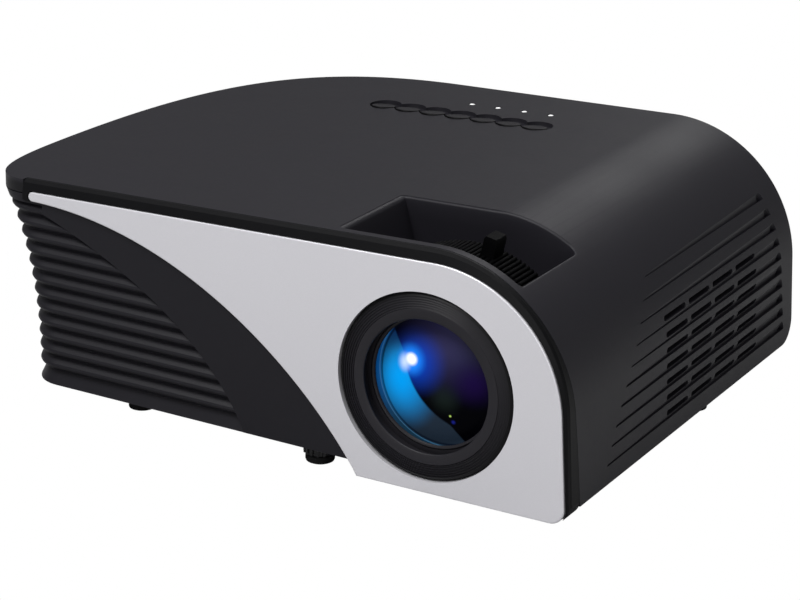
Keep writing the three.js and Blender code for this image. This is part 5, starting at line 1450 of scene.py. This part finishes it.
class PROJECTOR_OT_stage(ProjectorStep):
    """Make the floor, the soft lights, the even surroundings and the camera"""

    bl_idname = "projector.stage"
    bl_label = "Stage"

    def build(self, scene):
        settings = scene.projector_stage
        self.floor(settings.floor_colour)
        self.surroundings(scene, settings.fill)
        for name, (place, aim, width, height, share) in LAMPS.items():
            self.lamp(name, place, aim, width, height, settings.key_power * share)
        self.camera(scene)
        scene.view_settings.view_transform = "Standard"

    def floor(self, colour):
        """A floor that gives soft light back and shows white to the camera."""
        half, z = FLOOR_HALF, -FLOOR_DROP
        corners = [(-half, -half, z), (half, -half, z), (half, half, z), (-half, half, z)]
        floor = scratch(mesh_of("floor", corners, [(0, 1, 2, 3)], outward=False), "floor")
        paint = Paint("Floor paper")
        grain = paint.noise(paint.coords(), 3.0, 3.0)
        shade = paint.mix(grain, shaded(colour, 0.985), colour)
        lit = paint.add("ShaderNodeBsdfDiffuse", None, {"Color": shade, "Roughness": 0.6})
        glow = paint.add("ShaderNodeEmission", None, {"Color": WHITE, "Strength": 1.0})
        path = paint.add("ShaderNodeLightPath")
        seen = path.math("MAXIMUM", path.out("Is Camera Ray"), path.out("Is Transmission Ray"))
        both = paint.add("ShaderNodeMixShader", None, {0: seen, 1: lit, 2: glow})
        paint.add("ShaderNodeOutputMaterial", None, {"Surface": both})
        floor.data.materials.append(paint.material)

    def surroundings(self, scene, fill):
        """Even light from all round, white to the camera."""
        world = bpy.data.worlds.new("Studio")
        scene.world = world
        world.use_nodes = True
        graph = Graph(world.node_tree)
        rays = graph.add("ShaderNodeLightPath").out("Is Camera Ray")
        lights, white = [graph.add("ShaderNodeBackground", None, {"Color": WHITE, "Strength": strength})
                         for strength in (fill, 1.0)]
        both = graph.add("ShaderNodeMixShader", None, {0: rays, 1: lights, 2: white})
        graph.add("ShaderNodeOutputWorld", None, {"Surface": both})

    def lamp(self, name, place, aim, width, height, power):
        data = bpy.data.lights.new(name, "AREA")
        data.shape, data.size, data.size_y, data.energy = "RECTANGLE", width, height, power
        lamp = bpy.data.objects.new(name, data)
        bpy.context.scene.collection.objects.link(lamp)
        lamp.location = place
        lamp.rotation_euler = (Vector(aim) - Vector(place)).to_track_quat("-Z", "Y").to_euler()

    def camera(self, scene):
        """The camera that was fitted to the photograph."""
        camera = bpy.data.objects.new("camera", bpy.data.cameras.new("camera"))
        scene.collection.objects.link(camera)
        camera.data.sensor_width, camera.data.lens = CAMERA["sensor"], CAMERA["lens"]
        camera.data.clip_start, camera.data.clip_end = 0.01, 20.0
        around, above, roll = math.radians(CAMERA["around"]), math.radians(CAMERA["above"]), CAMERA["roll"]
        level = math.cos(above)
        back = Vector((math.sin(around) * level, -math.cos(around) * level, math.sin(above)))
        across = Vector((math.cos(around), math.sin(around), 0.0))
        upward = across.cross(-back)
        right = math.cos(roll) * across + math.sin(roll) * upward
        top = -math.sin(roll) * across + math.cos(roll) * upward
        turn = Matrix((right, top, back)).transposed()
        camera.matrix_world = Matrix.Translation(CAMERA["place"]) @ turn.to_4x4()
        scene.camera = camera


class PROJECTOR_PT_steps(bpy.types.Panel):
    """The projector's steps in the sidebar"""

    bl_idname = "PROJECTOR_PT_steps"
    bl_label = "Projector"
    bl_space_type = "VIEW_3D"
    bl_region_type = "UI"
    bl_category = "Projector"

    def draw(self, context):
        for attribute in settings_groups:
            group = getattr(context.scene, attribute)
            for name in group.__annotations__:
                self.layout.prop(group, name)
        for step in steps:
            self.layout.operator(step.bl_idname)


settings_groups = {
    "projector_housing": HousingSettings,
    "projector_lens": LensSettings,
    "projector_stage": StageSettings,
}
steps = (PROJECTOR_OT_top_cover, PROJECTOR_OT_bottom_case, PROJECTOR_OT_front, PROJECTOR_OT_lens,
         PROJECTOR_OT_focus_ring, PROJECTOR_OT_buttons, PROJECTOR_OT_feet, PROJECTOR_OT_inside,
         PROJECTOR_OT_stage)


def register():
    for group in (*settings_groups.values(), *steps, PROJECTOR_PT_steps):
        bpy.utils.register_class(group)
    for name, group in settings_groups.items():
        setattr(bpy.types.Scene, name, PointerProperty(type=group))


def unregister():
    for name in settings_groups:
        delattr(bpy.types.Scene, name)
    for group in (PROJECTOR_PT_steps, *reversed(steps), *reversed(tuple(settings_groups.values()))):
        bpy.utils.unregister_class(group)


def main():
    register()
    scene = bpy.context.scene
    make_finishes(scene.projector_housing)
    for step in steps:
        group, name = step.bl_idname.split(".")
        getattr(getattr(bpy.ops, group), name)()


if __name__ == "__main__":
    main()
